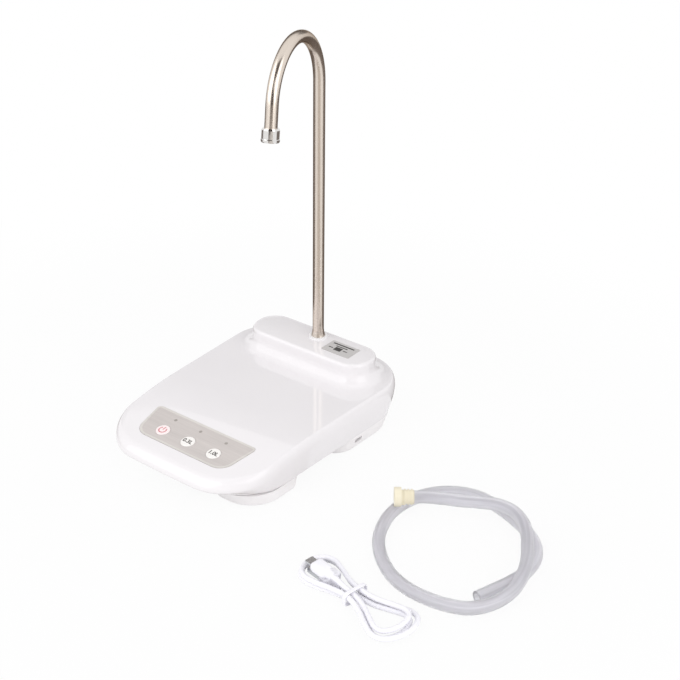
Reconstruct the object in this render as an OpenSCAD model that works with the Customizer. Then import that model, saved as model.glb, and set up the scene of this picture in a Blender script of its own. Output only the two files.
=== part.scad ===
// Electric water jug pump: a low base with a cup plate, a raised deck that carries a swivelling
// gooseneck spout, a gear pump and a rechargeable cell inside, and the suction hose and the
// charging lead that lie on the table beside it.
// Millimetres. +X is the user's right, +Y the back, +Z up. Z = 0 is the table.

/* [Body] */
// Width of the body at its widest, near the rear
body_w = 152; // [148:1:170]
// Width of the body behind the front corners
front_w = 142; // [136:1:150]
// Length of the body from the front lip to the rear wall
body_l = 210; // [206:1:230]
// Clear height from the table to the underside
underside_h = 13; // [11:0.5:18]
// Wall thickness of the upper shell
wall = 2.4; // [2:0.1:3]
// Thickness of the floor of the lower housing
floor_t = 2.2; // [1.6:0.1:3]
// Plan radius of the front corners
front_r = 40; // [34:1:46]
// Plan radius of the rear corners
rear_r = 40; // [34:1:44]
// Forward bow of the front edge
front_bow = 2; // [0:0.5:4]
// Inward lean of the side walls at their lower edge
side_lean = 2; // [1:0.5:4]
// Inward lean of the front lip at its lower edge
lip_lean = 8; // [5:0.5:11]
// Inward lean of the rear wall at its lower edge
rear_lean = 9; // [6:0.5:10]
// Rise of the lower edge towards the front lip
lip_rise = 7; // [4:0.5:9]
// Depth of the rounded edge that runs round the cup plate
edge_drop = 8; // [6:0.5:10]
// Width of that rounded edge on the sides and the rear
edge_side = 3; // [2:0.5:5]
// Width of that rounded edge over the front lip
edge_front = 9; // [6:0.5:12]
// Assembly gap between the two shells
shell_gap = 0.3; // [0.2:0.05:0.5]

/* [Deck] */
// Length of the deck across the body
deck_l = 114; // [108:1:118]
// Depth of the deck from front to back
deck_w = 36; // [34:1:38]
// Plan radius of the deck's corners
deck_r = 17; // [14:0.5:17]
// Height of the deck above the cup plate
deck_rise = 16.5; // [16:0.5:24]
// Radius of the fillet at the foot of the deck
deck_fillet = 10; // [7:0.5:11]
// Radius of the deck's top edge
deck_edge = 2.5; // [1.5:0.5:4]
// Distance from the rear wall to the spout axis
spout_back = 27.5; // [26:0.5:29]
// Distance from the spout axis forward to the middle of the deck
deck_shift = 6.5; // [5:0.5:8]
// Length of the sticker on the deck
label_l = 26.5; // [20:0.5:30]
// Depth of the sticker on the deck
label_w = 17; // [12:0.5:19]
// Distance from the spout axis to the middle of the sticker
label_x = 27.5; // [26:0.5:34]

/* [Feet] */
// Length of the front feet along the sides
front_foot_l = 52; // [46:1:56]
// Width of the front feet across the body
front_foot_w = 42; // [38:1:43]
// Length of the rear feet along the sides
rear_foot_l = 86; // [76:1:90]
// Width of the rear feet across the body
rear_foot_w = 44; // [42:1:46]
// Slope of a foot's outer sides from the underside to the table
foot_draft = 1.5; // [0.5:0.5:3]
// Slope of a foot's end faces from the underside to the table
foot_end_draft = 4; // [2:0.5:6]
// Diameter of the rubber pads
pad_d = 14; // [10:0.5:18]
// Thickness of the rubber pads
pad_t = 2.3; // [1.5:0.1:3]
// Depth to which the pads are let in
pad_sink = 0.8; // [0.5:0.1:1.2]

/* [Panel] */
// Tilt of the panel, down towards the front, in degrees
panel_tilt = 6.9; // [4:0.1:10]
// Width of the panel at its rear edge
panel_rear_w = 97; // [92:0.5:100]
// Width of the panel at its front edge
panel_front_w = 86; // [82:0.5:92]
// Distance from the button row back to the rear edge of the panel
panel_back = 21.3; // [19:0.1:23]
// Distance from the button row to the front edge of the panel
panel_fore = 11.4; // [10:0.1:14]
// Radius of the panel's front corners
panel_r = 12; // [8:0.5:14]
// Radius of the panel's rear corners
panel_rear_r = 3; // [1:0.5:6]
// Thickness of the panel
panel_t = 1.2; // [0.8:0.1:1.4]
// Height by which the panel stands proud
panel_proud = 0.15; // [0.1:0.05:0.3]
// Distance from the front lip to the button row
button_row = 28.8; // [28:0.1:34]
// Distance between neighbouring buttons
button_pitch = 25; // [22:0.5:28]
// Diameter of the button caps
button_d = 11; // [9:0.5:13]
// Height of a button cap above the panel
button_proud = 0.5; // [0.3:0.1:0.9]
// Travel of a button
button_stroke = 0.5; // [0.3:0.05:0.6]
// Gap round a button cap
button_gap = 0.2; // [0.15:0.05:0.3]
// Distance from the button row back to the indicator lenses
lamp_row = 13.9; // [12:0.1:16]
// Diameter of the indicator lenses
lamp_d = 2.4; // [2:0.1:3]

/* [Spout] */
// Outer diameter of the spout tube
tube_d = 9; // [8:0.1:10]
// Wall of the spout tube
tube_wall = 0.8; // [0.5:0.1:1]
// Straight height of the spout above the deck
riser_h = 210; // [150:1:260]
// Radius of the spout's bend, to the tube's axis
bend_r = 41.5; // [36:0.5:50]
// Angle of the spout's bend, in degrees
bend_angle = 171; // [160:1:180]
// Straight length of the tube after the bend
leg_l = 22; // [16:0.5:30]
// Turn of the spout at rest, towards the user's right, in degrees
spout_turn = 15.5; // [-30:0.5:30]
// Depth to which the tube goes into its socket
insert_l = 20; // [16:0.5:20]
// Radial clearance of running fits
bore_gap = 0.05; // [0.03:0.01:0.1]
// Outer diameter of the nozzle
nozzle_d = 12.5; // [12:0.1:14]
// Length of the nozzle
nozzle_l = 9.5; // [9:0.5:14]
// Length of the nozzle past the end of the tube
nozzle_past = 2.5; // [2.5:0.1:4]
// Height of the flared ferrule at the foot of the tube
ferrule_h = 5; // [4:0.5:12]
// Flare of that ferrule at its foot
ferrule_flare = 1; // [0.8:0.1:2]

/* [Pump] */
// Diameter of the motor
motor_d = 24; // [22:0.5:26]
// Length of the motor
motor_l = 28; // [24:0.5:30]
// Diameter of the motor shaft and of the idler pin
shaft_d = 2; // [1.5:0.1:2.5]
// Number of teeth on each pump gear
gear_teeth = 12; // [12:1:14]
// Module of the pump gears
gear_module = 0.9; // [0.8:0.05:1]
// Thickness of the pump gears
gear_t = 5.8; // [4:0.1:7]
// Backlash of the gears at the pitch circle
gear_backlash = 0.12; // [0.08:0.01:0.2]
// Clearance round the gears' tips
tip_gap = 0.12; // [0.08:0.01:0.2]
// Wall of the pump round the gears
pump_wall = 2.4; // [2:0.1:3]
// Thickness of the pump cover
cover_t = 3.5; // [3:0.1:5]
// Outer diameter of the inner water tubes
water_d = 8; // [7.5:0.1:8.5]
// Outer diameter of the nipples that the inner water tubes go over
nipple_d = 5.6; // [5:0.1:6]
// Bore of the nipples
nipple_bore = 3.8; // [3:0.1:4]
// Distance from the centre plane to the hose port
port_x = 30; // [26:0.5:34]
// Bore of the hose port
port_bore = 14.4; // [14.2:0.1:15]

/* [Battery] */
// Diameter of the battery cell
battery_d = 18.4; // [14:0.1:21]
// Length of the battery cell
battery_l = 65; // [50:0.5:70]

/* [Hose and lead] */
// Outer diameter of the suction hose
hose_d = 9; // [8:0.1:9.4]
// Bore of the suction hose
hose_bore = 6; // [5:0.1:7]
// Diameter of the charging lead
lead_d = 3.6; // [3:0.1:3.8]

/* [Hidden] */
$fn = 64;
// Overlap that keeps a cut or a union from ending on a shared face
over = 1;
// Sliding gap of pieces that are pressed on or glued
fit_gap = 0.02;

// Steps of a plan: each corner, each side, each end
corner_steps = 6;
side_steps = 6;
end_steps = 4;

// Heights, from the table up
foot_z = pad_t - pad_sink;
floor_top = underside_h + floor_t;
cradle_t = 2;
battery_head = 1.5;
motor_seat = 0.8;
pump_head = 0.5;

// Gears: pitch, base, tip and root radii, and the distance between their axes
gear_rp = gear_module*gear_teeth/2;
gear_rb = gear_rp*cos(20);
gear_ra = gear_rp + 0.8*gear_module;
gear_rr = gear_rp - 1.1*gear_module;
gear_c = 2*gear_rp;
cavity_r = gear_ra + tip_gap;
pump_h = 2*(cavity_r + pump_wall);

// The cup plate stands high enough for the cell and for the pump
inner_h = max(battery_d + cradle_t + battery_head, motor_seat + motor_d/2 + pump_h/2 + pump_head);
plate_h = floor_top + inner_h + wall;
deck_h = plate_h + deck_rise;

// Spout and deck in plan
spout_y = body_l/2 - spout_back;
deck_y = spout_y - deck_shift;
bend_z = deck_h + riser_h;

// The plate is level, then droops into the plane of the panel
panel_y = -body_l/2 + button_row;
droop_end = panel_y + panel_back + 4;
droop_l = 36;
droop_y = droop_end + droop_l;
function top_z(y) =
  y > droop_y ? plate_h
  : y > droop_end ? plate_h - tan(panel_tilt)*pow(droop_y - y, 2)/(2*droop_l)
  : plate_h - tan(panel_tilt)*(droop_y - droop_l/2 - y);

// Lower edge of the upper shell: level along the sides, rising under the front lip
lip_l = 45;
lip_y = lip_l + 11 - body_l/2;
function lip_t(y) = min(1, max(0, (lip_y - y)/lip_l));
function skirt_z(y) = underside_h + lip_rise*pow(lip_t(y), 2)*(3 - 2*lip_t(y));
function belly_z(y) = top_z(y) - edge_drop;

// Points between two points, without the ends
function between(a, b, count) = [for (i = [1:count]) a + (b - a)*i/(count + 1)];
// Quarter circle round a corner
function corner(x, y, r, start) =
  [for (i = [0:corner_steps]) let (a = start + 90*i/corner_steps) [x + r*cos(a), y + r*sin(a)]];
// Plan with its own width, edge and corner radius at the front and at the rear
function plan(wf, wr, yf, yr, rf, rr, bow = 0) =
  let (fr = corner(wf - rf, yf + rf, rf, -90),
       br = corner(wr - rr, yr - rr, rr, 0),
       bl = corner(rr - wr, yr - rr, rr, 90),
       fl = corner(rf - wf, yf + rf, rf, 180),
       all = concat(fr, between(fr[corner_steps], br[0], side_steps),
                    br, between(br[corner_steps], bl[0], end_steps),
                    bl, between(bl[corner_steps], fl[0], side_steps),
                    fl, between(fl[corner_steps], fr[0], end_steps)))
  [for (p = all) [p.x, p.y - bow*(1 - pow(p.x/wf, 2))*max(0, (yf + rf - p.y)/rf)]];
// Box with a radius of its own at each corner: right front, right rear, left rear, left front
function box_plan(x0, x1, y0, y1, r) =
  concat(corner(x1 - r[0], y0 + r[0], r[0], -90), corner(x1 - r[1], y1 - r[1], r[1], 0),
         corner(x0 + r[2], y1 - r[2], r[2], 90), corner(x0 + r[3], y0 + r[3], r[3], 180));
// Outline of the body moved in by s at the sides, f at the front and r at the rear
function body_plan(s, f, r) =
  plan(front_w/2 - s, body_w/2 - s, front_bow + f - body_l/2, body_l/2 - r,
       front_r - (s + f)/2, rear_r - (s + r)/2, front_bow);
// Outline of the deck grown by d
function deck_plan(d) =
  plan(deck_l/2 + d, deck_l/2 + d, deck_y - deck_w/2 - d, deck_y + deck_w/2 + d, deck_r + d, deck_r + d);
// Puts a plan at a height that may change with y
function raise(ring, height) = [for (p = ring) [p.x, p.y, height(p.y)]];
function list_head(list, count) = [for (i = [0:count - 1]) list[i]];
function middle(ring) = [for (k = [0:2]) sum([for (p = ring) p[k]])/len(ring)];
function sum(list) = list*[for (i = list) 1];
function mix(a, b, t) = [for (i = [0:len(a) - 1]) a[i] + (b[i] - a[i])*t];

// Solid through closed rings of equal length, capped at both ends or joined last to first
module skin(rings, ring_closed = false) {
  n = len(rings[0]);
  m = len(rings);
  spans = ring_closed ? m : m - 1;
  points = concat([for (ring = rings) each ring], [middle(rings[0]), middle(rings[m - 1])]);
  sides = [for (k = [0:spans - 1], i = [0:n - 1])
    let (a = k*n + i, b = k*n + (i + 1)%n, c = (a + n)%(m*n), d = (b + n)%(m*n))
    each [[a, c, d], [a, d, b]]];
  caps = [for (i = [0:n - 1])
    let (j = (i + 1)%n, end = (m - 1)*n)
    each [[i, j, m*n], [end + j, end + i, m*n + 1]]];
  if (ring_closed) polyhedron(list_head(points, m*n), sides, convexity = 6);
  else polyhedron(points, concat(sides, caps), convexity = 6);
}

// Rings of a round tube along a path of points
function unit(v) = v/norm(v);
function tangent(path, i) = unit(path[min(i + 1, len(path) - 1)] - path[max(i - 1, 0)]);
function tube_rings(path, d, sides) =
  [for (i = [0:len(path) - 1])
    let (t = tangent(path, i), e = unit(cross(t, [0, 0, 1])), u = cross(e, t))
    [for (k = [0:sides - 1]) path[i] + d/2*(u*cos(360*k/sides) + e*sin(360*k/sides))]];
function reversed(list) = [for (i = [len(list) - 1:-1:0]) list[i]];

// Least clear gap of a round cord to itself, on points along its path, past a stretch of its own
function along(path, per) =
  [for (i = [0:len(path) - 2], k = [0:per - 1]) path[i] + (path[i + 1] - path[i])*k/per];
function self_gap(points, d, skip) =
  min([for (i = [0:len(points) - skip - 1], j = [i + skip:len(points) - 1]) norm(points[i] - points[j])]) - d;
function path_length(path) = sum([for (i = [1:len(path) - 1]) norm(path[i] - path[i - 1])]);

// Screw that points up from the underside of its head
module screw(d, l, head_d, head_h) {
  cylinder(d = d, h = l);
  translate([0, 0, -head_h]) cylinder(d = head_d, h = head_h);
}
// Frame whose Z axis runs along +X, with its own X along +Y and its own Y along +Z
module along_x(x, y, z) {
  translate([x, y, z]) rotate([90, 0, 90]) children();
}

// Upper shell
shell_steps = 5;
inner_steps = 2;
plate_steps = 4;
fillet_steps = 5;
skirt_bow = 0.45;
skirt_mid = 0.4;
function shell_ring(s, f, r, height) = raise(body_plan(s, f, r), height);
function edge_ring(a, t) =
  shell_ring(t + edge_side*(1 - cos(a)), t + edge_front*(1 - cos(a)), t + edge_side*(1 - cos(a)),
             function(y) top_z(y) - t - (edge_drop - t)*(1 - sin(a)));
function wall_rings(t, steps) = concat(
  [shell_ring(side_lean + t, lip_lean + t, rear_lean + t, function(y) skirt_z(y)),
   shell_ring(skirt_bow*side_lean + t, skirt_bow*lip_lean + t, skirt_bow*rear_lean + t,
              function(y) skirt_z(y) + skirt_mid*(belly_z(y) - skirt_z(y)))],
  [for (i = [0:steps]) edge_ring(90*i/steps, t)]);
function fillet_ring(a, t) =
  raise(deck_plan(deck_fillet - (deck_fillet + t)*sin(a)),
        function(y) plate_h + deck_fillet - (deck_fillet + t)*cos(a));
function plate_rings(t) =
  let (rim = edge_ring(90, t), foot = fillet_ring(0, t))
  [for (i = [1:plate_steps])
    raise(mix(rim, foot, i/(plate_steps + 1)), function(y) top_z(y) - t)];
function deck_rings(t, steps) = concat(
  [for (i = [0:steps]) fillet_ring(90*i/steps, t)],
  [for (i = [0:2])
    raise(deck_plan(-t - deck_edge*(1 - cos(45*i))), function(y) deck_h - t - deck_edge*(1 - sin(45*i)))]);
function shell_rings(t, edge, fillet) = concat(wall_rings(t, edge), plate_rings(t), deck_rings(t, fillet));

// Fastening of the two shells
screw_d = 3;
screw_l = 12;
boss_d = 7;

module top_shell() {
  color("whitesmoke") difference() {
    union() {
      skin(concat(reversed(shell_rings(wall, inner_steps, fillet_steps - 1)),
                  shell_rings(0, shell_steps, fillet_steps)));
      for (p = screw_spots)
        translate([p.x, p.y, floor_top])
          cylinder(d = boss_d, h = top_z(p.y) - wall/2 - floor_top);
      for (p = board_spots)
        on_panel(p) translate([0, 0, board_top]) cylinder(d = board_boss_d, h = -wall/2 - board_top);
    }
    for (p = screw_spots)
      translate([p.x, p.y, floor_top - over]) cylinder(d = screw_d + 2*bore_gap, h = screw_l + over);
    for (p = board_spots)
      on_panel(p) translate([0, 0, board_top - over])
        cylinder(d = board_screw_d + 2*bore_gap, h = board_screw_in + screw_tip + over);
    on_panel([0, 0]) translate([0, 0, panel_proud - panel_t])
      linear_extrude(panel_t + over) polygon(panel_outline(panel_gap));
    for (i = [-1:1]) {
      on_panel([i*button_pitch, 0]) translate([0, 0, -2*wall])
        cylinder(d = button_d + 2*button_gap, h = 2*wall + over);
      on_panel([i*button_pitch, lamp_row]) translate([0, 0, -2*wall])
        cylinder(d = lamp_d + 2*lamp_gap, h = 2*wall + over);
    }
    translate([0, spout_y, socket_end]) cylinder(d = barrel_d + 2*barrel_gap, h = deck_h - socket_end + over);
    port_axis(port_face) translate([0, 0, -port_l - over])
      cylinder(d = port_d + 2*barrel_gap, h = port_l + over + rear_lean);
  }
}

// Lower housing: a tray with a rim inside the upper shell, and four hollow feet
rim_h = 4;
rim_t = 2;
chin = 8;
tub_s = side_lean + wall + shell_gap;
tub_f = lip_lean + wall + shell_gap;
tub_r = rear_lean + wall + shell_gap;
tub_draft = 0.6;
foot_inset = 0.4;
// The feet stand flush below the skirt, and a narrower root joins them to the tray inside it
foot_in = side_lean + foot_inset/2;
foot_root = tub_s + tub_draft + foot_inset - foot_in;
foot_r = 14;
foot_heel_r = 7;
rear_toe_r = 20;
foot_inner_r = 7.5;
// The outer corners follow the skirt as far as a foot is wide
front_foot_r = min(front_r - 13, front_foot_w - foot_inner_r - 1, front_foot_l - foot_r - 2);
rear_foot_r = min(rear_r - (side_lean + rear_lean)/2, rear_foot_w - foot_inner_r - 0.5);
// The sides of the feet run along the sides of the body, which spread towards the rear
side_y0 = front_bow + front_r - body_l/2;
side_y1 = body_l/2 - rear_r;
side_slope = (body_w - front_w)/2/(side_y1 - side_y0);
function spread(ring, y) = [for (p = ring) [p.x + side_slope*(p.y - y), p.y]];
foot_edge = 2;
foot_wall = 2.4;
module tub() {
  skin([
    shell_ring(tub_s + tub_draft, tub_f + chin, tub_r + tub_draft, function(y) underside_h),
    shell_ring(tub_s, tub_f, tub_r, function(y) skirt_z(y) + tub_draft),
    shell_ring(tub_s, tub_f, tub_r, function(y) skirt_z(y) + rim_h),
    shell_ring(tub_s + rim_t, tub_f + rim_t, tub_r + rim_t, function(y) skirt_z(y) + rim_h),
    shell_ring(tub_s + rim_t + tub_draft, tub_f + chin + rim_t, tub_r + rim_t + tub_draft,
               function(y) floor_top)]);
}
// Feet in plan, right side, with their sides moved in by d and their end faces by e
front_foot_x = front_w/2 - foot_in;
front_foot_y = front_bow + tub_f + chin + foot_inset - body_l/2;
rear_foot_x = body_w/2 - foot_in;
rear_foot_y = body_l/2 - rear_lean - foot_inset/2;
// Screws stand between the feet
screw_in = 15;
screw_fore = 8;
screw_aft = 6;
screw_y = [front_foot_y + front_foot_l + screw_fore, rear_foot_y - rear_foot_l - screw_aft];
screw_spots = [for (x = [-1, 1], y = screw_y) [x*(front_w/2 - screw_in), y]];
function front_foot_plan(d, e) =
  spread(box_plan(front_foot_x - front_foot_w + d, front_foot_x - d,
                  front_foot_y + e, front_foot_y + front_foot_l - d,
                  [front_foot_r - d, foot_heel_r - d, foot_r - d, foot_inner_r - d]), side_y0);
function rear_foot_plan(d, e) =
  spread(box_plan(rear_foot_x - rear_foot_w + d, rear_foot_x - d,
                  rear_foot_y - rear_foot_l + d, rear_foot_y - e,
                  [rear_toe_r - d, rear_foot_r - d, foot_inner_r - d, foot_r - d]), side_y1);
function at_z(ring, z) = [for (p = ring) [p.x, p.y, z]];
module foot_form(front) {
  low = foot_z + foot_edge;
  skin([
    at_z(foot_plan(front, foot_draft + foot_edge, foot_end_draft + foot_edge), foot_z),
    at_z(foot_plan(front, foot_draft + 0.3*foot_edge, foot_end_draft + 0.3*foot_edge),
         foot_z + 0.4*foot_edge),
    at_z(foot_plan(front, foot_draft, foot_end_draft), low),
    at_z(foot_plan(front, 0, 0), underside_h - shell_gap),
    at_z(foot_plan(front, foot_root, foot_root), underside_h - shell_gap),
    at_z(foot_plan(front, foot_root, foot_root), underside_h + floor_t/2)]);
}
function foot_plan(front, d, e) = front ? front_foot_plan(d, e) : rear_foot_plan(d, e);
module foot_pocket(front) {
  translate([0, 0, foot_z + foot_wall])
    linear_extrude(floor_top + over - foot_z - foot_wall)
      polygon(foot_plan(front, foot_draft + foot_edge + foot_wall, foot_end_draft + foot_edge + foot_wall));
}
// Middles of the pads under the right feet
pad_spots = [[front_foot_x - front_foot_w/2 - 1, front_foot_y + front_foot_l/2 + 3],
             [rear_foot_x - rear_foot_w/2 + 2, rear_foot_y - rear_foot_l/2]];
module both_sides() {
  children();
  mirror([1, 0, 0]) children();
}
module bottom_housing() {
  color("white") difference() {
    union() {
      difference() {
        union() {
          tub();
          both_sides() {
            foot_form(true);
            foot_form(false);
          }
        }
        both_sides() {
          foot_pocket(true);
          foot_pocket(false);
        }
      }
      for (x = cradle_x)
        translate([x, motor_y - motor_d/3, foot_z + foot_wall/2])
          cube([cradle_w, 2*motor_d/3, axis_z - motor_d/4 - foot_z - foot_wall/2]);
      for (p = strap_spots)
        translate([p.x, p.y, foot_z + foot_wall/2])
          cylinder(d = boss_d, h = floor_top + strap_boss_h - foot_z - foot_wall/2);
      for (p = charge_posts)
        translate([p.x, p.y, foot_z + foot_wall/2])
          cylinder(d = charge_post_d, h = charge_z - foot_z - foot_wall/2);
    }
    along_x(motor_x0 - over, motor_y, axis_z) cylinder(d = motor_d + 2*seat_gap, h = motor_l + 2*over);
    for (p = strap_spots)
      translate([p.x, p.y, floor_top + strap_boss_h - strap_screw_l])
        cylinder(d = strap_screw_d + 2*bore_gap, h = strap_screw_l + over);
    for (p = screw_spots)
      translate([p.x, p.y, underside_h - over]) cylinder(d = screw_d + 4*shell_gap, h = floor_t + 2*over);
    both_sides()
      for (p = pad_spots)
        translate([p.x, p.y, foot_z - over]) cylinder(d = pad_d + 2*seat_gap, h = pad_sink + over);
    translate([slit_x, charge_y - slit_w/2, charge_mid - slit_h/2]) cube([slit_depth, slit_w, slit_h]);
    port_axis(port_face) translate([0, 0, -port_l - over])
      cylinder(d = port_d + 2*barrel_gap, h = port_l + 2*over);
  }
}
seat_gap = 0.1;

module foot_pads() {
  color("dimgray")
    both_sides()
      for (p = pad_spots)
        translate([p.x, p.y, 0]) cylinder(d = pad_d, h = pad_t);
}

screw_head_d = 5.6;
screw_head_h = 1.8;
module housing_screws() {
  color("silver")
    for (p = screw_spots)
      translate([p.x, p.y, underside_h]) screw(screw_d, screw_l, screw_head_d, screw_head_h);
}

// Panel, buttons and board share one tilted frame with its origin in the middle of the button row
panel_gap = 0.15;
lamp_gap = 0.1;
module on_panel(p) {
  translate([0, panel_y, top_z(panel_y)]) rotate([panel_tilt, 0, 0]) translate([p.x, p.y, 0]) children();
}
// Place of a point of that frame in the body
function panel_point(x, y, z) =
  [x, panel_y + y*cos(panel_tilt) - z*sin(panel_tilt),
   top_z(panel_y) + y*sin(panel_tilt) + z*cos(panel_tilt)];
// Round-cornered outline: each corner is an arc that touches both its edges
function round_corner(a, b, c, r, steps) =
  let (u = unit(a - b), v = unit(c - b), half = acos(u*v)/2,
       mid = b + unit(u + v)*r/sin(half),
       from = b + u*r/tan(half) - mid, to = b + v*r/tan(half) - mid,
       start = atan2(from.y, from.x), turn = (atan2(to.y, to.x) - start + 540)%360 - 180)
  [for (i = [0:steps]) mid + r*[cos(start + turn*i/steps), sin(start + turn*i/steps)]];
function rounded(corners, radii, steps) =
  let (n = len(corners))
  [for (i = [0:n - 1])
    each round_corner(corners[(i + n - 1)%n], corners[i], corners[(i + 1)%n], radii[i], steps)];
function panel_outline(d) =
  rounded([[panel_rear_w/2 + d, panel_back + d], [-panel_rear_w/2 - d, panel_back + d],
           [-panel_front_w/2 - d, -panel_fore - d], [panel_front_w/2 + d, -panel_fore - d]],
          [panel_rear_r + d, panel_rear_r + d, panel_r + d, panel_r + d], 8);

module control_panel() {
  color("rosybrown") on_panel([0, 0]) translate([0, 0, panel_proud - panel_t])
    linear_extrude(panel_t) difference() {
      polygon(panel_outline(0));
      for (i = [-1:1]) {
        translate([i*button_pitch, 0]) circle(d = button_d + 2*button_gap);
        translate([i*button_pitch, lamp_row]) circle(d = lamp_d + 2*lamp_gap);
      }
    }
}

// Heights of the button stack below the panel's face
flange_top = -wall - 0.15;
flange_t = 1;
flange_over = 1.5;
post_d = 4;
post_l = 2;
post_end = flange_top - flange_t - post_l;
stem_d = 3.4;
stem_out = 1.5;
stem_in = 1;
switch_w = 6;
switch_h = 3.5;
switch_top = post_end - stem_out;
board_top = switch_top - switch_h;
board_t = 1.6;
board_w = 92;
board_y0 = -9;
board_y1 = 19;
board_screw_d = 2;
board_boss_d = 5;
board_screw_in = 4.5;
board_head_d = 3.8;
board_head_h = 1.3;
screw_tip = 0.5;
board_in = 6;
board_fore = 5;
board_aft = 4;
board_spots = [for (s = [-1, 1], y = [board_y0 + board_fore, board_y1 - board_aft])
  [s*(board_w/2 - board_in), y]];
lamp_chip_h = 1;
lamp_chip_w = 3;
lamp_chip_l = 1.6;
chip_w = 10;
chip_l = 8;
chip_h = 1.5;
cap_edge = 0.4;
module button(i) {
  cap_r = button_d/2;
  cap_top = panel_proud + button_proud;
  on_panel([i*button_pitch, 0]) rotate_extrude()
    polygon([[0, post_end], [post_d/2, post_end], [post_d/2, flange_top - flange_t],
             [cap_r + flange_over, flange_top - flange_t], [cap_r + flange_over, flange_top],
             [cap_r, flange_top], [cap_r, cap_top - cap_edge], [cap_r - cap_edge, cap_top], [0, cap_top]]);
}
module power_button() { color("mistyrose") button(-1); }
module small_volume_button() { color("white") button(0); }
module large_volume_button() { color("white") button(1); }

module switch_stem(i) {
  color("black") on_panel([i*button_pitch, 0])
    translate([0, 0, switch_top - stem_in]) cylinder(d = stem_d, h = stem_out + stem_in);
}
module power_switch_stem() { switch_stem(-1); }
module small_volume_switch_stem() { switch_stem(0); }
module large_volume_switch_stem() { switch_stem(1); }

module tact_switches() {
  stem_room = stem_in + button_stroke + 0.3;
  color("dimgray")
    for (i = [-1:1])
      on_panel([i*button_pitch, 0]) difference() {
        translate([-switch_w/2, -switch_w/2, board_top]) cube([switch_w, switch_w, switch_h]);
        translate([0, 0, switch_top - stem_room]) cylinder(d = stem_d + 4*bore_gap, h = stem_room + over);
      }
}

module indicator_lenses() {
  color("darkslategray")
    for (i = [-1:1])
      on_panel([i*button_pitch, lamp_row]) translate([0, 0, board_top + lamp_chip_h + seat_gap])
        cylinder(d = lamp_d, h = panel_proud - board_top - lamp_chip_h - seat_gap);
}

// Connectors on the underside of the board, one for each pair of leads
plug_x = [-32, 22, 32];
plug_w = 6;
plug_l = 5;
plug_h = 4;
module control_board() {
  color("darkgreen") on_panel([0, 0]) {
    difference() {
      translate([-board_w/2, board_y0, board_top - board_t]) cube([board_w, board_y1 - board_y0, board_t]);
      for (p = board_spots)
        translate([p.x, p.y, board_top - board_t - over])
          cylinder(d = board_screw_d + 2*seat_gap, h = board_t + 2*over);
    }
    for (i = [-1:1])
      translate([i*button_pitch - lamp_chip_w/2, lamp_row - lamp_chip_l/2, board_top])
        cube([lamp_chip_w, lamp_chip_l, lamp_chip_h]);
    for (x = plug_x)
      translate([x - plug_w/2, board_y1 - plug_l, board_top - board_t - plug_h])
        cube([plug_w, plug_l, plug_h]);
    translate([-chip_w/2, -chip_l/2, board_top - board_t - chip_h]) cube([chip_w, chip_l, chip_h]);
  }
}
module board_screws() {
  color("silver")
    for (p = board_spots)
      on_panel(p) translate([0, 0, board_top - board_t])
        screw(board_screw_d, board_t + board_screw_in, board_head_d, board_head_h);
}

// Battery between the board and the pump
battery_y = 10;
cell_gap = 0.2;
holder_end = 3;
module battery_axis() {
  along_x(-battery_l/2, battery_y, floor_top + cradle_t + battery_d/2) children();
}
module battery_cell() {
  color("steelblue") battery_axis() {
    cylinder(d = battery_d, h = battery_l - 1);
    cylinder(d = battery_d/3, h = battery_l);
  }
}
module battery_holder() {
  holder_w = battery_d + 4;
  color("black") difference() {
    translate([-battery_l/2 - holder_end, battery_y - holder_w/2, floor_top])
      cube([battery_l + 2*holder_end, holder_w, cradle_t + 0.6*battery_d]);
    battery_axis() translate([0, 0, -cell_gap])
      cylinder(d = battery_d + 2*cell_gap, h = battery_l + 2*cell_gap);
    translate([-battery_l/2 - cell_gap, battery_y - battery_d/2 - cell_gap,
               floor_top + cradle_t + battery_d/2])
      cube([battery_l + 2*cell_gap, battery_d + 2*cell_gap, battery_d]);
  }
}

// Gear pump, laid along X under the deck, with its nipples towards the spout
water_bend = 9;
nipple_l = 4;
port_off = 4.5;
gasket_t = 0.5;
gear_end_gap = 0.1;
pump_back = 3;
cavity_l = gear_t + 2*gear_end_gap;
pump_face_x = -water_bend - nipple_l;
cover_x0 = pump_face_x - cover_t;
gasket_x0 = cover_x0 - gasket_t;
cavity_x0 = gasket_x0 - cavity_l;
pump_x0 = cavity_x0 - pump_back;
motor_x0 = pump_x0 - motor_l;
motor_fore = 17;
motor_y = spout_y - motor_fore;
axis_z = floor_top + motor_seat + motor_d/2;
out_z = axis_z + port_off;
in_z = axis_z - port_off;
port_y = motor_y - gear_c/2;
// Ends of the pump block across the gears, in the pump's frame
block_y0 = -gear_c - cavity_r - pump_wall;
block_y1 = cavity_r + pump_wall;
pump_screw_d = 2;
pump_screw_in = 2.4;
pump_screw_spots = [for (y = [block_y0 + pump_screw_in, block_y1 - pump_screw_in], s = [-1, 1])
  [y, s*(pump_h/2 - pump_screw_in)]];
pump_head_d = 3.6;
pump_head_h = 1.2;
seal_d = 6;
seal_t = 1.5;

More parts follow.
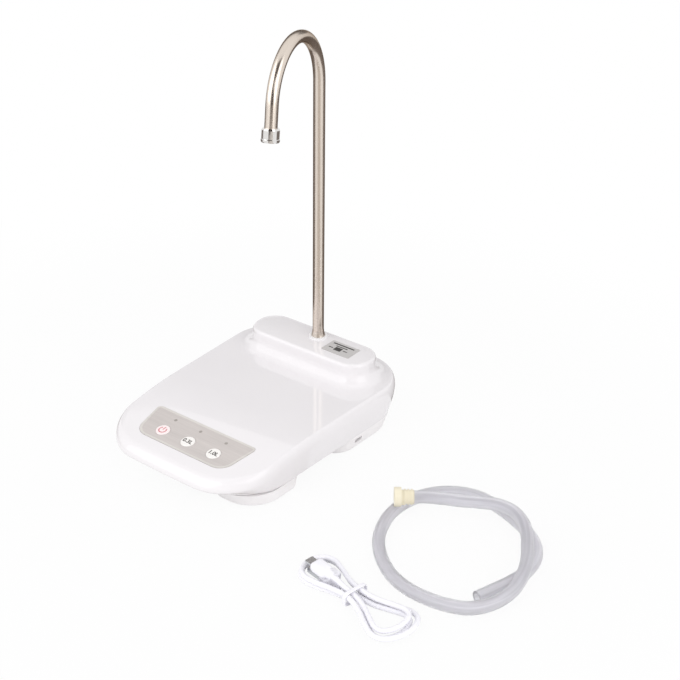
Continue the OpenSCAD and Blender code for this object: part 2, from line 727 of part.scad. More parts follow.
module pump_block() {
  translate([block_y0, -pump_h/2]) square([block_y1 - block_y0, pump_h]);
}
module gear_bores() {
  circle(r = cavity_r);
  translate([-gear_c, 0]) circle(r = cavity_r);
}
module pump_screw_holes(gap) {
  for (p = pump_screw_spots) translate(p) circle(d = pump_screw_d + 2*gap);
}
module pump_body() {
  color("lightgray") along_x(pump_x0, motor_y, axis_z) difference() {
    linear_extrude(pump_back + cavity_l) pump_block();
    translate([0, 0, pump_back]) linear_extrude(cavity_l + over) gear_bores();
    translate([0, 0, -over]) cylinder(d = shaft_d + 2*bore_gap, h = pump_back + 2*over);
    translate([0, 0, -over]) cylinder(d = seal_d + 2*seat_gap, h = seal_t + seat_gap + over);
    translate([-gear_c, 0, 1]) cylinder(d = shaft_d + 2*fit_gap, h = pump_back);
    translate([0, 0, 1]) linear_extrude(pump_back + cavity_l) pump_screw_holes(bore_gap);
  }
}
module shaft_seal() {
  color("black") along_x(pump_x0, motor_y, axis_z) difference() {
    cylinder(d = seal_d, h = seal_t);
    translate([0, 0, -over]) cylinder(d = shaft_d + 4*bore_gap, h = seal_t + 2*over);
  }
}
module pump_gasket() {
  color("black") along_x(gasket_x0, motor_y, axis_z) linear_extrude(gasket_t) difference() {
    pump_block();
    gear_bores();
    pump_screw_holes(seat_gap);
  }
}
module pump_nipples(d, l) {
  for (s = [-1, 1]) translate([-gear_c/2, s*port_off, 0]) cylinder(d = d, h = l);
}
module pump_cover() {
  color("lightgray") along_x(cover_x0, motor_y, axis_z) difference() {
    union() {
      linear_extrude(cover_t) pump_block();
      pump_nipples(nipple_d, cover_t + nipple_l);
    }
    translate([0, 0, -over]) pump_nipples(nipple_bore, cover_t + nipple_l + 2*over);
    translate([-gear_c, 0, -over]) cylinder(d = shaft_d + 2*fit_gap, h = 2 + over);
    translate([0, 0, -over]) linear_extrude(cover_t + 2*over) pump_screw_holes(seat_gap);
  }
}
module pump_screws() {
  color("silver") along_x(pump_face_x, motor_y, axis_z)
    for (p = pump_screw_spots)
      translate(p) mirror([0, 0, 1])
        screw(pump_screw_d, cover_t + gasket_t + cavity_l, pump_head_d, pump_head_h);
}

// Involute gear: half the angle that a tooth takes up at radius r
function involute(r) = let (t = sqrt(max(0, pow(r/gear_rb, 2) - 1))) t*180/PI - atan(t);
function tooth_half(r) =
  (PI*gear_module/2 - gear_backlash)/(2*gear_rp)*180/PI + involute(gear_rp) - involute(max(r, gear_rb));
flank_steps = 4;
flank = concat([gear_rr], [for (i = [0:flank_steps]) gear_rb + (gear_ra - gear_rb)*i/flank_steps]);
function gear_outline() =
  [for (k = [0:gear_teeth - 1])
    let (c = 360*k/gear_teeth)
    each concat([for (r = flank) r*[cos(c - tooth_half(r)), sin(c - tooth_half(r))]],
                [for (r = reversed(flank)) r*[cos(c + tooth_half(r)), sin(c + tooth_half(r))]])];
module gear(bore) {
  linear_extrude(gear_t) difference() {
    polygon(gear_outline());
    circle(d = bore);
  }
}
module drive_gear() {
  color("ivory") along_x(cavity_x0 + gear_end_gap, motor_y, axis_z) gear(shaft_d + 2*fit_gap);
}
module idler_gear() {
  color("ivory") along_x(cavity_x0 + gear_end_gap, motor_y - gear_c, axis_z)
    rotate([0, 0, 180/gear_teeth]) gear(shaft_d + 2*bore_gap);
}
module idler_pin() {
  pin_in = 1.8;
  color("silver") along_x(cavity_x0 - pin_in, motor_y - gear_c, axis_z)
    cylinder(d = shaft_d, h = pin_in + cavity_l + gasket_t + pin_in);
}

// Motor and its strap
motor_boss_d = 8;
motor_boss_l = 2;
module motor_can() {
  color("silver") along_x(motor_x0, motor_y, axis_z) difference() {
    union() {
      cylinder(d = motor_d, h = motor_l);
      translate([0, 0, -motor_boss_l]) cylinder(d = motor_boss_d, h = motor_boss_l + over);
    }
    translate([0, 0, -motor_boss_l - over])
      cylinder(d = shaft_d + 2*bore_gap, h = motor_l + motor_boss_l + 2*over);
  }
}
module motor_shaft() {
  color("gray") along_x(motor_x0 - motor_boss_l, motor_y, axis_z)
    cylinder(d = shaft_d, h = motor_boss_l + motor_l + pump_back + cavity_l - gear_end_gap);
}
strap_w = 8;
strap_t = 1.6;
strap_ri = motor_d/2 + seat_gap;
strap_ro = strap_ri + strap_t;
strap_foot = 8;
strap_reach = strap_ro + strap_foot/2;
strap_screw_d = 2.5;
strap_screw_l = 6;
strap_head_d = 4.4;
strap_head_h = 1.4;
strap_boss_h = 5;
strap_low = floor_top + strap_boss_h - axis_z;
strap_x = motor_x0 + 12;
strap_spots = [for (s = [-1, 1]) [strap_x, motor_y + s*strap_reach]];
cradle_x = [strap_x - 8, strap_x + 1];
cradle_w = 4;
module strap_outline() {
  difference() {
    union() {
      circle(r = strap_ro);
      translate([-strap_ro, strap_low]) square([2*strap_ro, -strap_low]);
      translate([-strap_reach - strap_foot/2, strap_low]) square([2*strap_reach + strap_foot, strap_t]);
    }
    circle(r = strap_ri);
    translate([-strap_ri, -2*motor_d]) square([2*strap_ri, 2*motor_d]);
    translate([-2*motor_d, strap_low - 2*motor_d]) square([4*motor_d, 2*motor_d]);
  }
}
module motor_strap() {
  color("white") difference() {
    along_x(strap_x - strap_w/2, motor_y, axis_z) linear_extrude(strap_w) strap_outline();
    for (p = strap_spots)
      translate([p.x, p.y, floor_top]) cylinder(d = strap_screw_d + 2*seat_gap, h = motor_d);
  }
}
module strap_screws() {
  color("silver")
    for (p = strap_spots)
      translate([p.x, p.y, floor_top + strap_boss_h + strap_t]) mirror([0, 0, 1])
        screw(strap_screw_d, strap_screw_l, strap_head_d, strap_head_h);
}

// Water tubes: from +X round a quarter bend to +Y
module water_ring() {
  difference() {
    circle(d = water_d);
    circle(d = nipple_d + 2*seat_gap);
  }
}
module water_tube(x0, x1, y0, y1, z, r) {
  along_x(x0, y0, z) linear_extrude(x1 - r - x0) water_ring();
  translate([x1 - r, y0 + r, z]) rotate([0, 0, -90])
    rotate_extrude(angle = 90) translate([r, 0]) water_ring();
  translate([x1, y1, z]) rotate([90, 0, 0]) linear_extrude(y1 - y0 - r) water_ring();
}
inlet_bend = 11;
module outlet_tube() {
  color("lightcyan")
    water_tube(pump_face_x, 0, port_y, spout_y - barrel_d/2 - seat_gap, out_z, water_bend);
}
module inlet_tube() {
  color("lightcyan")
    water_tube(pump_face_x, port_x, port_y, port_face - port_l - seat_gap, in_z, inlet_bend);
}

// Spout socket in the deck, with two O-rings and a clip below
barrel_d = tube_d + 4;
barrel_gap = 0.2;
collar_d = barrel_d + 2;
collar_h = 1.2;
ring_d = 1.2;
ring_r = tube_d/2 + 2*bore_gap + ring_d/2;
ring_depths = [6, 13];
bore_r = tube_d/2 + bore_gap;
bore_end = deck_h - insert_l - 0.5;
chamber_d = 6;
socket_end = out_z - nipple_d/2 - 2.5;
side_nipple_l = 7;
module spout_socket() {
  color("white") translate([0, spout_y, 0]) difference() {
    union() {
      translate([0, 0, socket_end]) cylinder(d = barrel_d, h = deck_h - socket_end + over);
      translate([0, 0, deck_h]) cylinder(d = collar_d, h = collar_h);
      translate([0, 0, out_z]) rotate([90, 0, 0]) cylinder(d = nipple_d, h = barrel_d/2 + side_nipple_l);
    }
    translate([0, 0, bore_end]) cylinder(r = bore_r, h = deck_h);
    translate([0, 0, out_z]) cylinder(d = chamber_d, h = deck_h - out_z);
    translate([0, 0, out_z]) rotate([90, 0, 0]) cylinder(d = nipple_bore, h = barrel_d);
    for (depth = ring_depths)
      translate([0, 0, deck_h - depth - ring_d/2 - seat_gap])
        cylinder(r = ring_r + ring_d/2 + bore_gap, h = ring_d + 2*seat_gap);
  }
}
// Horseshoe clip that holds the socket from below, open towards the deck's rear wall
clip_h = 3;
clip_d = barrel_d + 8;
clip_gap = 0.6;
clip_back = deck_y + deck_w/2 - wall - deck_edge - clip_gap - spout_y;
module socket_clip() {
  color("white") translate([0, spout_y, deck_h - wall - clip_h - seat_gap])
    linear_extrude(clip_h) difference() {
      circle(d = clip_d);
      circle(d = barrel_d + 2*seat_gap);
      translate([-clip_d, clip_back]) square(2*clip_d);
    }
}
module spout_o_rings() {
  color("black")
    for (depth = ring_depths)
      translate([0, spout_y, deck_h - depth]) rotate_extrude() translate([ring_r, 0]) circle(d = ring_d);
}

// Spout: riser, bend and leg in one plane, turned about the riser
module at_spout() {
  translate([0, spout_y, 0]) rotate([0, 0, spout_turn]) children();
}
module at_spout_end() {
  at_spout() translate([0, -bend_r, bend_z]) rotate([bend_angle, 0, 0]) translate([0, bend_r, 0]) children();
}
module tube_ring(rise) {
  difference() {
    circle(d = tube_d + 2*rise);
    circle(d = tube_d - 2*tube_wall - 2*rise);
  }
}
// A bead too low to see closes the seam between the bend and the leg
seam_l = 0.4;
seam_rise = 0.02;
module spout_tube() {
  color("silver") {
    at_spout() {
      translate([0, 0, deck_h - insert_l]) linear_extrude(insert_l + riser_h) tube_ring(0);
      translate([0, -bend_r, bend_z]) rotate([90, 0, 90]) rotate_extrude(angle = bend_angle)
        translate([bend_r, 0]) tube_ring(0);
    }
    at_spout_end() {
      linear_extrude(leg_l) tube_ring(0);
      translate([0, 0, -seam_l/2]) linear_extrude(seam_l) tube_ring(seam_rise);
    }
  }
}
ferrule_gap = 0.1;
ferrule_rim = 0.1;
ferrule_steps = 6;
// Thickness of the ferrule at a share t of its height: a hollow flare
function ferrule_t(t) = ferrule_rim + (ferrule_flare - ferrule_rim)*pow(1 - t, 1.6);
module spout_ferrule() {
  low = deck_h + collar_h + ferrule_gap;
  inner = tube_d/2 + fit_gap;
  color("silver") at_spout() rotate_extrude()
    polygon(concat([[inner, low + ferrule_h], [inner, low]],
                   [for (i = [0:ferrule_steps]) let (t = i/ferrule_steps)
                     [inner + ferrule_t(t), low + t*ferrule_h]]));
}
// Nozzle: slides over the tube's end and holds a perforated insert past it
insert_d = nozzle_d - 2.2;
insert_t = 1.4;
module nozzle_shell() {
  start = leg_l + nozzle_past - nozzle_l;
  end = leg_l + nozzle_past;
  r = nozzle_d/2;
  color("gainsboro") at_spout_end() rotate_extrude()
    polygon([[tube_d/2 + fit_gap, start], [r - 0.7, start], [r, start + 1.2], [r, end - 2.4],
             [r + 0.3, end - 2], [r + 0.3, end - 0.5], [r, end], [insert_d/2 + fit_gap, end],
             [insert_d/2 + fit_gap, leg_l + 0.3],
             [tube_d/2 + fit_gap, leg_l + 0.3]]);
}
module nozzle_insert() {
  color("white") at_spout_end() translate([0, 0, leg_l + 0.3]) difference() {
    cylinder(d = insert_d, h = insert_t);
    for (k = [0:5])
      rotate([0, 0, 60*k]) translate([insert_d/4, 0, -over]) cylinder(d = 1.4, h = insert_t + 2*over);
    translate([0, 0, -over]) cylinder(d = 1.4, h = insert_t + 2*over);
  }
}

// Hose port in the rear wall: a socket behind, a nipple for the inlet tube in front
port_d = port_bore + 3.6;
port_l = 14;
port_depth = 7;
port_in = 1.5;
port_face = body_l/2 - port_in;
module port_axis(y) {
  translate([port_x, y, in_z]) rotate([-90, 0, 0]) children();
}
module hose_port() {
  color("white") port_axis(port_face) difference() {
    union() {
      translate([0, 0, -port_l]) cylinder(d = port_d, h = port_l);
      translate([0, 0, -port_l - side_nipple_l]) cylinder(d = nipple_d, h = side_nipple_l + over);
    }
    translate([0, 0, -port_depth]) cylinder(d = port_bore, h = port_depth + over);
    translate([0, 0, -port_l - side_nipple_l - over]) cylinder(d = nipple_bore, h = port_l + side_nipple_l);
  }
}

// Charging socket behind a slit low in the right rear foot
charge_fore = 6;
charge_y = rear_foot_y - rear_foot_l + rear_toe_r + charge_fore;
charge_z = foot_z + foot_wall + 1.4;
charge_t = 1.2;
charge_w = 12;
charge_l = 16;
socket_w = 7.6;
socket_h = 2.7;
socket_l = 5.6;
slit_w = 8.4;
slit_h = 3.4;
slit_depth = 2*foot_wall + 4;
charge_gap = 1;
charge_side = rear_foot_x + side_slope*(charge_y - charge_w/2 - side_y1);
charge_x1 = charge_side - foot_draft - foot_edge - foot_wall - charge_gap;
slit_x = charge_x1 + seat_gap;
charge_mid = charge_z + charge_t + socket_h/2;
charge_post_d = 4;
charge_posts = [for (s = [-1, 1]) [charge_x1 - charge_l + 3, charge_y + s*(charge_w/2 - 3)]];
module charge_board() {
  color("darkgreen")
    translate([charge_x1 - charge_l, charge_y - charge_w/2, charge_z]) cube([charge_l, charge_w, charge_t]);
}
module charge_socket() {
  color("silver") translate([charge_x1 - socket_l, charge_y - socket_w/2, charge_z + charge_t]) difference() {
    cube([socket_l, socket_w, socket_h]);
    translate([0.6, 0.4, 0.4]) cube([socket_l, socket_w - 0.8, socket_h - 0.8]);
  }
}

// Leads inside the body: pairs of thin round wires that end at the board's connectors
wire_d = 1.2;
wire_pitch = 2.8;
wire_sides = 6;
wire_z = floor_top + wire_d/2 + 0.3;
function plug_end(i, k) =
  panel_point(plug_x[i] + (k - 0.5)*wire_pitch, board_y1, board_top - board_t - plug_h/2);
// The second wire starts behind the first and runs beside it: to its right for turn 1, to its left for -1
module wire_pair(i, turn, route) {
  for (k = [0:1]) {
    end = plug_end(i, turn > 0 ? k : 1 - k);
    path = [for (j = [0:len(route) - 1]) route[j] + k*wire_pitch*(j < 2 ? [0, 1, 0] : [turn, 0, 0])];
    skin(tube_rings(concat(path, [end + [0, 14, -3], end + [0, 5, 0], end]), wire_d, wire_sides));
  }
}
lead_x = battery_l/2 + holder_end + 5;
module motor_leads() {
  color("firebrick")
    wire_pair(0, -1, [[motor_x0, motor_y + 6, axis_z], [motor_x0 - 4, motor_y + 5.5, axis_z - 1],
      [motor_x0 - 7, motor_y - 1, axis_z - 5], [motor_x0 - 5, motor_y - 12, wire_z + 4],
      [motor_x0 + 2, motor_y - 20, wire_z], [-lead_x, battery_y + 20, wire_z],
      [-lead_x, battery_y - 14, wire_z], [plug_x[0] - 6, panel_y + 38, wire_z + 1]]);
}
module battery_leads() {
  start = battery_l/2 + holder_end;
  color("black")
    wire_pair(1, 1, [[start, battery_y - 1, wire_z + 6], [start + 3, battery_y - 1.5, wire_z + 6],
      [start + 4, battery_y - 8, wire_z + 2], [start, battery_y - 16, wire_z],
      [plug_x[1] + 2, panel_y + 42, wire_z]]);
}
// These climb out over the front rim of the foot that holds the charging board
module charge_leads() {
  x = charge_x1 - charge_l;
  rim_y = rear_foot_y - rear_foot_l + foot_draft + foot_edge + foot_wall;
  color("goldenrod")
    wire_pair(2, -1, [[x, charge_y - 3, charge_z + charge_t/2], [x - 3, charge_y - 3.5, charge_z + 1],
      [x - 4, charge_y - 7, charge_z + 6], [x - 2, rim_y + 4, wire_z + 2.5], [x - 2, rim_y - 5, wire_z + 1],
      [lead_x + 7, battery_y, wire_z], [lead_x + 6, battery_y - 14, wire_z],
      [plug_x[2] + 2, panel_y + 40, wire_z]]);
}

label_t = 0.3;
module deck_label() {
  x0 = label_x - label_l/2;
  y0 = deck_y - label_w/2;
  color("darkgray") translate([0, 0, deck_h]) linear_extrude(label_t)
    polygon(box_plan(x0, x0 + label_l, y0, y0 + label_w, [1, 1, 1, 1]));
}

// Suction hose on the table: 1.5 turns, whose first turn lies over the rest in four places
hose_route = [[154, -10, 16.8], [162, -4, 16.8], [171, 3, 15.5], [181, 11, 13.5], [192, 17.5, 13.5],
  [204, 21.5, 14.5], [216, 21, 14.8], [227, 15, 14.8], [236, 5, 14.8], [243.5, -7, 14.8],
  [250.5, -20, 14.5], [255, -34, 12.5], [255.5, -48.5, 9.5], [250.5, -61.5, 6.5], [241, -72.5, 4.7],
  [228.5, -79, 4.7], [214, -82, 4.7], [199.5, -82, 4.7], [185.5, -78.5, 4.7], [173, -71.5, 4.7],
  [162, -62, 4.7], [153, -50.5, 4.7], [147, -37.5, 4.7], [143.5, -23.5, 4.7], [143.5, -9, 4.7],
  [147, 5, 4.7], [154, 17.5, 4.7], [164.5, 27, 4.7], [178, 32.5, 4.7], [192, 32.5, 4.7], [206, 29, 4.7],
  [219.5, 24, 4.7], [232, 17, 4.7], [242.5, 7.5, 4.7], [249, -5, 4.7], [250.5, -19.5, 4.7],
  [248, -33.5, 4.7], [243.5, -47.5, 4.7], [238.5, -61.5, 4.7]];
hose_sides = 10;
hose_heading = unit(hose_route[1] - hose_route[0]);
hose_marks = along(hose_route, 6);
echo(hose_length = path_length(hose_route), hose_least_gap = self_gap(hose_marks, hose_d, 24));
module suction_hose() {
  color("gainsboro")
    skin(concat(tube_rings(hose_route, hose_d, hose_sides),
                reversed(tube_rings(hose_route, hose_bore, hose_sides))), true);
}
sleeve_d = hose_d + 1.2;
sleeve_l = 9;
rib_d = sleeve_d + 1.2;
rib_t = 0.9;
rib_pitch = 2.4;
rib_count = 3;
plug_flange_d = port_bore - 0.4;
plug_flange_l = 5;
lug_w = 3;
lug_out = 1;
module hose_fitting() {
  color("khaki") translate(hose_route[0])
    rotate([0, 0, atan2(hose_heading.y, hose_heading.x)]) rotate([0, -90, 0]) difference() {
      union() {
        cylinder(d = sleeve_d, h = sleeve_l + over);
        for (k = [0:rib_count - 1])
          translate([0, 0, rib_pitch*(k + 0.5)]) cylinder(d = rib_d, h = rib_t);
        translate([0, 0, sleeve_l]) cylinder(d = plug_flange_d, h = plug_flange_l);
        translate([-sleeve_d/2 - lug_out, -lug_w/2, sleeve_l - lug_w])
          cube([sleeve_d/2, lug_w, lug_w + over]);
      }
      translate([0, 0, -over]) cylinder(d = hose_bore, h = sleeve_l + plug_flange_l + 2*over);
    }
}

// Charging lead: a hank of loops that are drawn in at the tie, spiral out, climb and spiral in again.
// The upper loops lie further in, so that the lower ones show beside them.
hank_at = [175, -108, 0];
hank_turn = -11;
hank_turns = 2.5;
hank_right = 48;
hank_left = 48.5;
hank_bulge = 34.5;
hank_bulge_right = 4;
hank_draw = 0.6;
hank_over = 2;
hank_waist = 8;
hank_step = lead_d + 1.1;
hank_rings = 24;
tie_w = 3;
tie_t = 0.8;
tie_gap = 0.4;
low_z = lead_d/2 + 0.1;
layer_z = lead_d + 0.6;
function hank_in(n) = hank_step*abs(n - hank_turns/2);
function hank_climb(n) = let (t = min(1, max(0, 2*(n - hank_turns/2) + 0.5))) t*t*(3 - 2*t);
function hank_lift(u) = (tie_t + 0.2)*pow(max(0, 1 - abs(u)/30), 2);
function hank_point(n) =
  let (a = 360*n - 90, s = sin(a), c = cos(a),
       in = hank_over*hank_climb(n),
       u = ((c > 0 ? hank_right : hank_left) - c*c*(hank_in(n) + in))*c,
       bulge = hank_bulge + hank_bulge_right*c - hank_draw*hank_in(n) - in,
       v = sign(s)*sqrt(abs(s))*hank_in(n) - s*(bulge - (bulge - hank_waist)*pow(abs(s), 3)))
  [u, v, low_z + layer_z*hank_climb(n) + hank_lift(u)];
plug_a_u = -12;
plug_b_u = -16;
plug_a_z = 3.9;
plug_b_z = 12.4;
plug_b_v = -5;
lead_start = hank_point(0);
lead_end = hank_point(hank_turns);
lead_path = concat(
  [[plug_a_u, 0, plug_a_z], [plug_a_u + lead_d, 0, plug_a_z],
   [plug_a_u + 2*lead_d, lead_start.y/2, (plug_a_z + lead_start.z)/2]],
  [for (i = [0:hank_turns*hank_rings]) hank_point(i/hank_rings)],
  [[plug_b_u + 2.6*lead_d, lead_end.y - 0.4, lead_end.z + 0.8],
   [plug_b_u + 1.8*lead_d, (lead_end.y + plug_b_v)/2, plug_b_z - 2.4],
   [plug_b_u + lead_d, plug_b_v, plug_b_z], [plug_b_u, plug_b_v, plug_b_z]]);
lead_sides = 6;
echo(lead_length = path_length(lead_path), lead_least_gap = self_gap(along(lead_path, 5), lead_d, 12));
module at_hank() {
  translate(hank_at) rotate([0, 0, hank_turn]) children();
}
module usb_cable() {
  color("white") at_hank() skin(tube_rings(lead_path, lead_d, lead_sides));
}
module cable_tie() {
  half = hank_waist - hank_step/4 + lead_d/2 + tie_gap;
  top = lead_end.z + lead_d/2 + tie_gap;
  color("white") at_hank() along_x(-tie_w/2, 0, 0) linear_extrude(tie_w) difference() {
    translate([-half - tie_t, 0]) square([2*half + 2*tie_t, top + tie_t]);
    translate([-half, tie_t]) square([2*half, top - tie_t]);
  }
}
micro_w = 10.4;
micro_h = 7;
micro_l = 17;
micro_tip_w = 6.8;
micro_tip_h = 1.8;
micro_tip_l = 6.6;
module slab(l, w, h, r) {
  along_x(0, 0, 0) linear_extrude(l) polygon(box_plan(-w/2, w/2, -h/2, h/2, [r, r, r, r]));
}
module micro_usb_plug() {
  color("white") at_hank() translate([plug_b_u - micro_l, plug_b_v, plug_b_z])
    slab(micro_l, micro_w, micro_h, 2);
}
module micro_usb_tip() {
  color("silver") at_hank() translate([plug_b_u - micro_l - micro_tip_l, plug_b_v, plug_b_z])
    slab(micro_tip_l, micro_tip_w, micro_tip_h, 0.5);
}
usb_a_w = 14.6;
usb_a_h = 7.6;
usb_a_l = 8;
relief_d = 6;
relief_l = 8;
usb_shell_w = 12;
usb_shell_h = 4.5;
usb_shell_l = 12;
module usb_a_plug() {
  color("white") at_hank() {
    translate([plug_a_u - relief_l - usb_a_l, 0, plug_a_z]) slab(usb_a_l, usb_a_w, usb_a_h, 2);
    along_x(plug_a_u - relief_l - over, 0, plug_a_z) cylinder(d = relief_d, h = relief_l + over);
  }
}
module usb_a_shell() {
  color("silver") at_hank() translate([plug_a_u - relief_l - usb_a_l - usb_shell_l, 0, plug_a_z])
    difference() {
      slab(usb_shell_l, usb_shell_w, usb_shell_h, 0.4);
      translate([-over, 0, 0.9]) slab(usb_shell_l, usb_shell_w - 0.8, 1.9, 0.2);
    }
}

top_shell();
bottom_housing();
foot_pads();
housing_screws();
control_panel();
power_button();
small_volume_button();
large_volume_button();
indicator_lenses();
control_board();
tact_switches();
power_switch_stem();
small_volume_switch_stem();
large_volume_switch_stem();
board_screws();
battery_cell();
battery_holder();
motor_can();
motor_shaft();
drive_gear();
idler_gear();
idler_pin();
pump_body();
pump_gasket();
pump_cover();
pump_screws();
shaft_seal();
motor_strap();
strap_screws();
inlet_tube();
outlet_tube();
spout_socket();
socket_clip();
spout_o_rings();
spout_tube();
spout_ferrule();
nozzle_shell();
nozzle_insert();
hose_port();
charge_board();
charge_socket();
motor_leads();
battery_leads();
charge_leads();
deck_label();
suction_hose();
hose_fitting();
usb_cable();
cable_tie();
micro_usb_plug();
micro_usb_tip();
usb_a_plug();
usb_a_shell();
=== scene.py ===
# %% [markdown]
# # A jug pump, its hose and its charging lead, dressed for a picture
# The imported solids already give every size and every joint. This file adds what a solid
# lacks: smooth skins on the curved mouldings, cords that lie as cords do, the prints on
# the panel, and a finish for each piece. Lengths are millimetres until a mesh is made,
# because that is how the pieces were drawn, and Blender then gets metres.

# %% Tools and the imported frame
import math

import bpy
import numpy as np
from mathutils import Matrix


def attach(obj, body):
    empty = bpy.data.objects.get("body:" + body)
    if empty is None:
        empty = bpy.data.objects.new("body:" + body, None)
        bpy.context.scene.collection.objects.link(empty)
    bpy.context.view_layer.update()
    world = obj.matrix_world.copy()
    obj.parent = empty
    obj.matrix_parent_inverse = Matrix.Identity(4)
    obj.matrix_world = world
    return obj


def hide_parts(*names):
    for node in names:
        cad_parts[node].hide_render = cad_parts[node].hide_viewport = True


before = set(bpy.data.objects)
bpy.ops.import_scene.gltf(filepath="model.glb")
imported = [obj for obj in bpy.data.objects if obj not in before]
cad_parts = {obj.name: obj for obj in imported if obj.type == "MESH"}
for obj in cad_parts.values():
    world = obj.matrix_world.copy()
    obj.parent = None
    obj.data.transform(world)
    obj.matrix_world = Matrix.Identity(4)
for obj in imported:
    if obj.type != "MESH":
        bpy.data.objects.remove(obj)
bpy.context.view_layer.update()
MM = 0.001

# %% [markdown]
# ## The camera
# The picture was taken from the user's right, in front and above. Two angles aim the
# camera and a third rolls it by a hair. The object stands left of the lens's axis, so the
# frame is shifted instead of turning the camera, which would tip the spout.

# %% Camera
CAMERA_AT = np.array([541.2, -618.3, 538.0])
CAMERA_TURN, CAMERA_PITCH, CAMERA_ROLL = np.radians([37.74, 28.85, 0.31])
SENSOR_W, FOCAL, SHIFT_X = 36.0, 66.256, 0.0282


def camera_axes(turn, pitch, roll):
    """Right, up and back axes: turned about Z, tipped down by pitch, rolled about the view."""
    back = np.array([math.sin(turn)*math.cos(pitch), -math.cos(turn)*math.cos(pitch), math.sin(pitch)])
    across = np.array([math.cos(turn), math.sin(turn), 0.0])
    up = np.cross(back, across)
    right = math.cos(roll)*across + math.sin(roll)*up
    return np.stack([right, math.cos(roll)*up - math.sin(roll)*across, back], axis=1)


def put_in_scene(name, data):
    """A new object in the scene, at the origin."""
    made = bpy.data.objects.new(name, data)
    bpy.context.scene.collection.objects.link(made)
    return made


pose = np.eye(4)
pose[:3, :3] = camera_axes(CAMERA_TURN, CAMERA_PITCH, CAMERA_ROLL)
pose[:3, 3] = CAMERA_AT*MM
lens = bpy.data.cameras.new("camera")
lens.sensor_width = SENSOR_W
lens.lens = FOCAL
lens.shift_x = SHIFT_X
camera = put_in_scene("camera", lens)
camera.matrix_world = Matrix(pose.tolist())
bpy.context.scene.camera = camera
print("camera at", np.round(CAMERA_AT*MM, 3))

# %% [markdown]
# ## Rings into a mesh
# Nearly everything here is a row of rings: a tube is a circle carried along a path, a
# moulding is a plan that changes with height. One helper joins such rings with quads and
# closes both ends.

# %% Rings and lofts
def loft_faces(rows, columns, ring_shut):
    """Quads between neighbouring rings; the ends are capped, or the last ring meets the first."""
    spans = rows if ring_shut else rows - 1
    k = np.arange(spans)[:, None]
    i = np.arange(columns)[None, :]
    after = (i + 1) % columns
    above = (k + 1) % rows
    quads = np.stack([k*columns + i, k*columns + after, above*columns + after, above*columns + i], -1)
    faces = quads.reshape(-1, 4).tolist()
    if not ring_shut:
        last = (rows - 1)*columns
        faces.append(list(range(columns - 1, -1, -1)))
        faces.append(list(range(last, last + columns)))
    return faces


def add_loft(name, rings, body, ring_shut=False, crease=40.0):
    """A piece through rings (rows, columns, 3), smooth but where faces meet at over crease degrees."""
    points = rings.reshape(-1, 3)
    faces = loft_faces(*rings.shape[:2], ring_shut)
    mesh = bpy.data.meshes.new(name)
    mesh.from_pydata((points*MM).tolist(), [], faces)
    mesh.shade_smooth()
    mesh.set_sharp_from_angle(angle=math.radians(crease))
    piece = put_in_scene(name, mesh)
    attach(piece, body)
    print(name, len(points), "points", len(faces), "faces")
    return piece


# %% [markdown]
# ## Paths
# A cord's route is a short list of points. A Catmull-Rom curve passes through each of
# them and leaves each one in the direction of its neighbours, so the cord bends smoothly
# and still lies where the solid lies. A Bezier curve object would do as well, but its
# handles would have to be set by hand. Each point of a tube also keeps where it would lie if
# the tube were straight, so that a finish can run along the piece instead of through it.

# %% Smooth paths and tubes
def smooth_path(points, per):
    """Catmull-Rom curve: per points from each given point to the next, as cubic blends of four."""
    p = np.asarray(points, float)
    p = np.concatenate([2*p[:1] - p[1:2], p, 2*p[-1:] - p[-2:-1]])
    t = (np.arange(per)/per)[None, :, None]
    a, b, c, d = (p[i:len(p) - 3 + i, None, :] for i in range(4))
    curve = 0.5*(2*b + (c - a)*t + (2*a - 5*b + 4*c - d)*t**2 + (3*b - a - 3*c + d)*t**3)
    return np.concatenate([curve.reshape(-1, 3), p[-2:-1]])


def unit(v):
    """Vectors of length one in the same directions."""
    return v/np.linalg.norm(v, axis=-1, keepdims=True)


def path_length(path):
    """Sum of the straight steps along a path."""
    return float(np.linalg.norm(np.diff(path, axis=0), axis=1).sum())


def angles(count):
    """Even steps once round a circle."""
    return 2*np.pi*np.arange(count)/count


def polar(a):
    """Points at angles a on a circle of radius one."""
    return np.stack([np.cos(a), np.sin(a)], -1)


def turned(points, angle):
    """Points turned about the Z axis."""
    c, s = math.cos(angle), math.sin(angle)
    return np.asarray(points) @ np.array([[c, -s, 0], [s, c, 0], [0, 0, 1]]).T


def tube_rings(path, radius, sides, across=None):
    """Circles square to a path; across is a level direction square to it unless one is given."""
    heading = unit(np.gradient(path, axis=0))
    level = np.cross(heading, [0.0, 0.0, 1.0]) if across is None else np.broadcast_to(across, path.shape)
    level = unit(level)
    rise = np.cross(level, heading)
    a = angles(sides)
    spokes = rise[:, None, :]*np.cos(a)[None, :, None] + level[:, None, :]*np.sin(a)[None, :, None]
    return path[:, None, :] + np.reshape(radius, (-1, 1, 1))*spokes


def straight_rings(path, radius, sides):
    """The same circles on a straight path along Z."""
    steps = np.linalg.norm(np.diff(path, axis=0), axis=1)
    run = np.concatenate([[0.0], np.cumsum(steps)])
    flat = polar(angles(sides))[None]*np.full((len(path), 1, 1), float(radius))
    return np.concatenate([flat, np.broadcast_to(run[:, None, None], flat.shape[:2] + (1,))], -1)


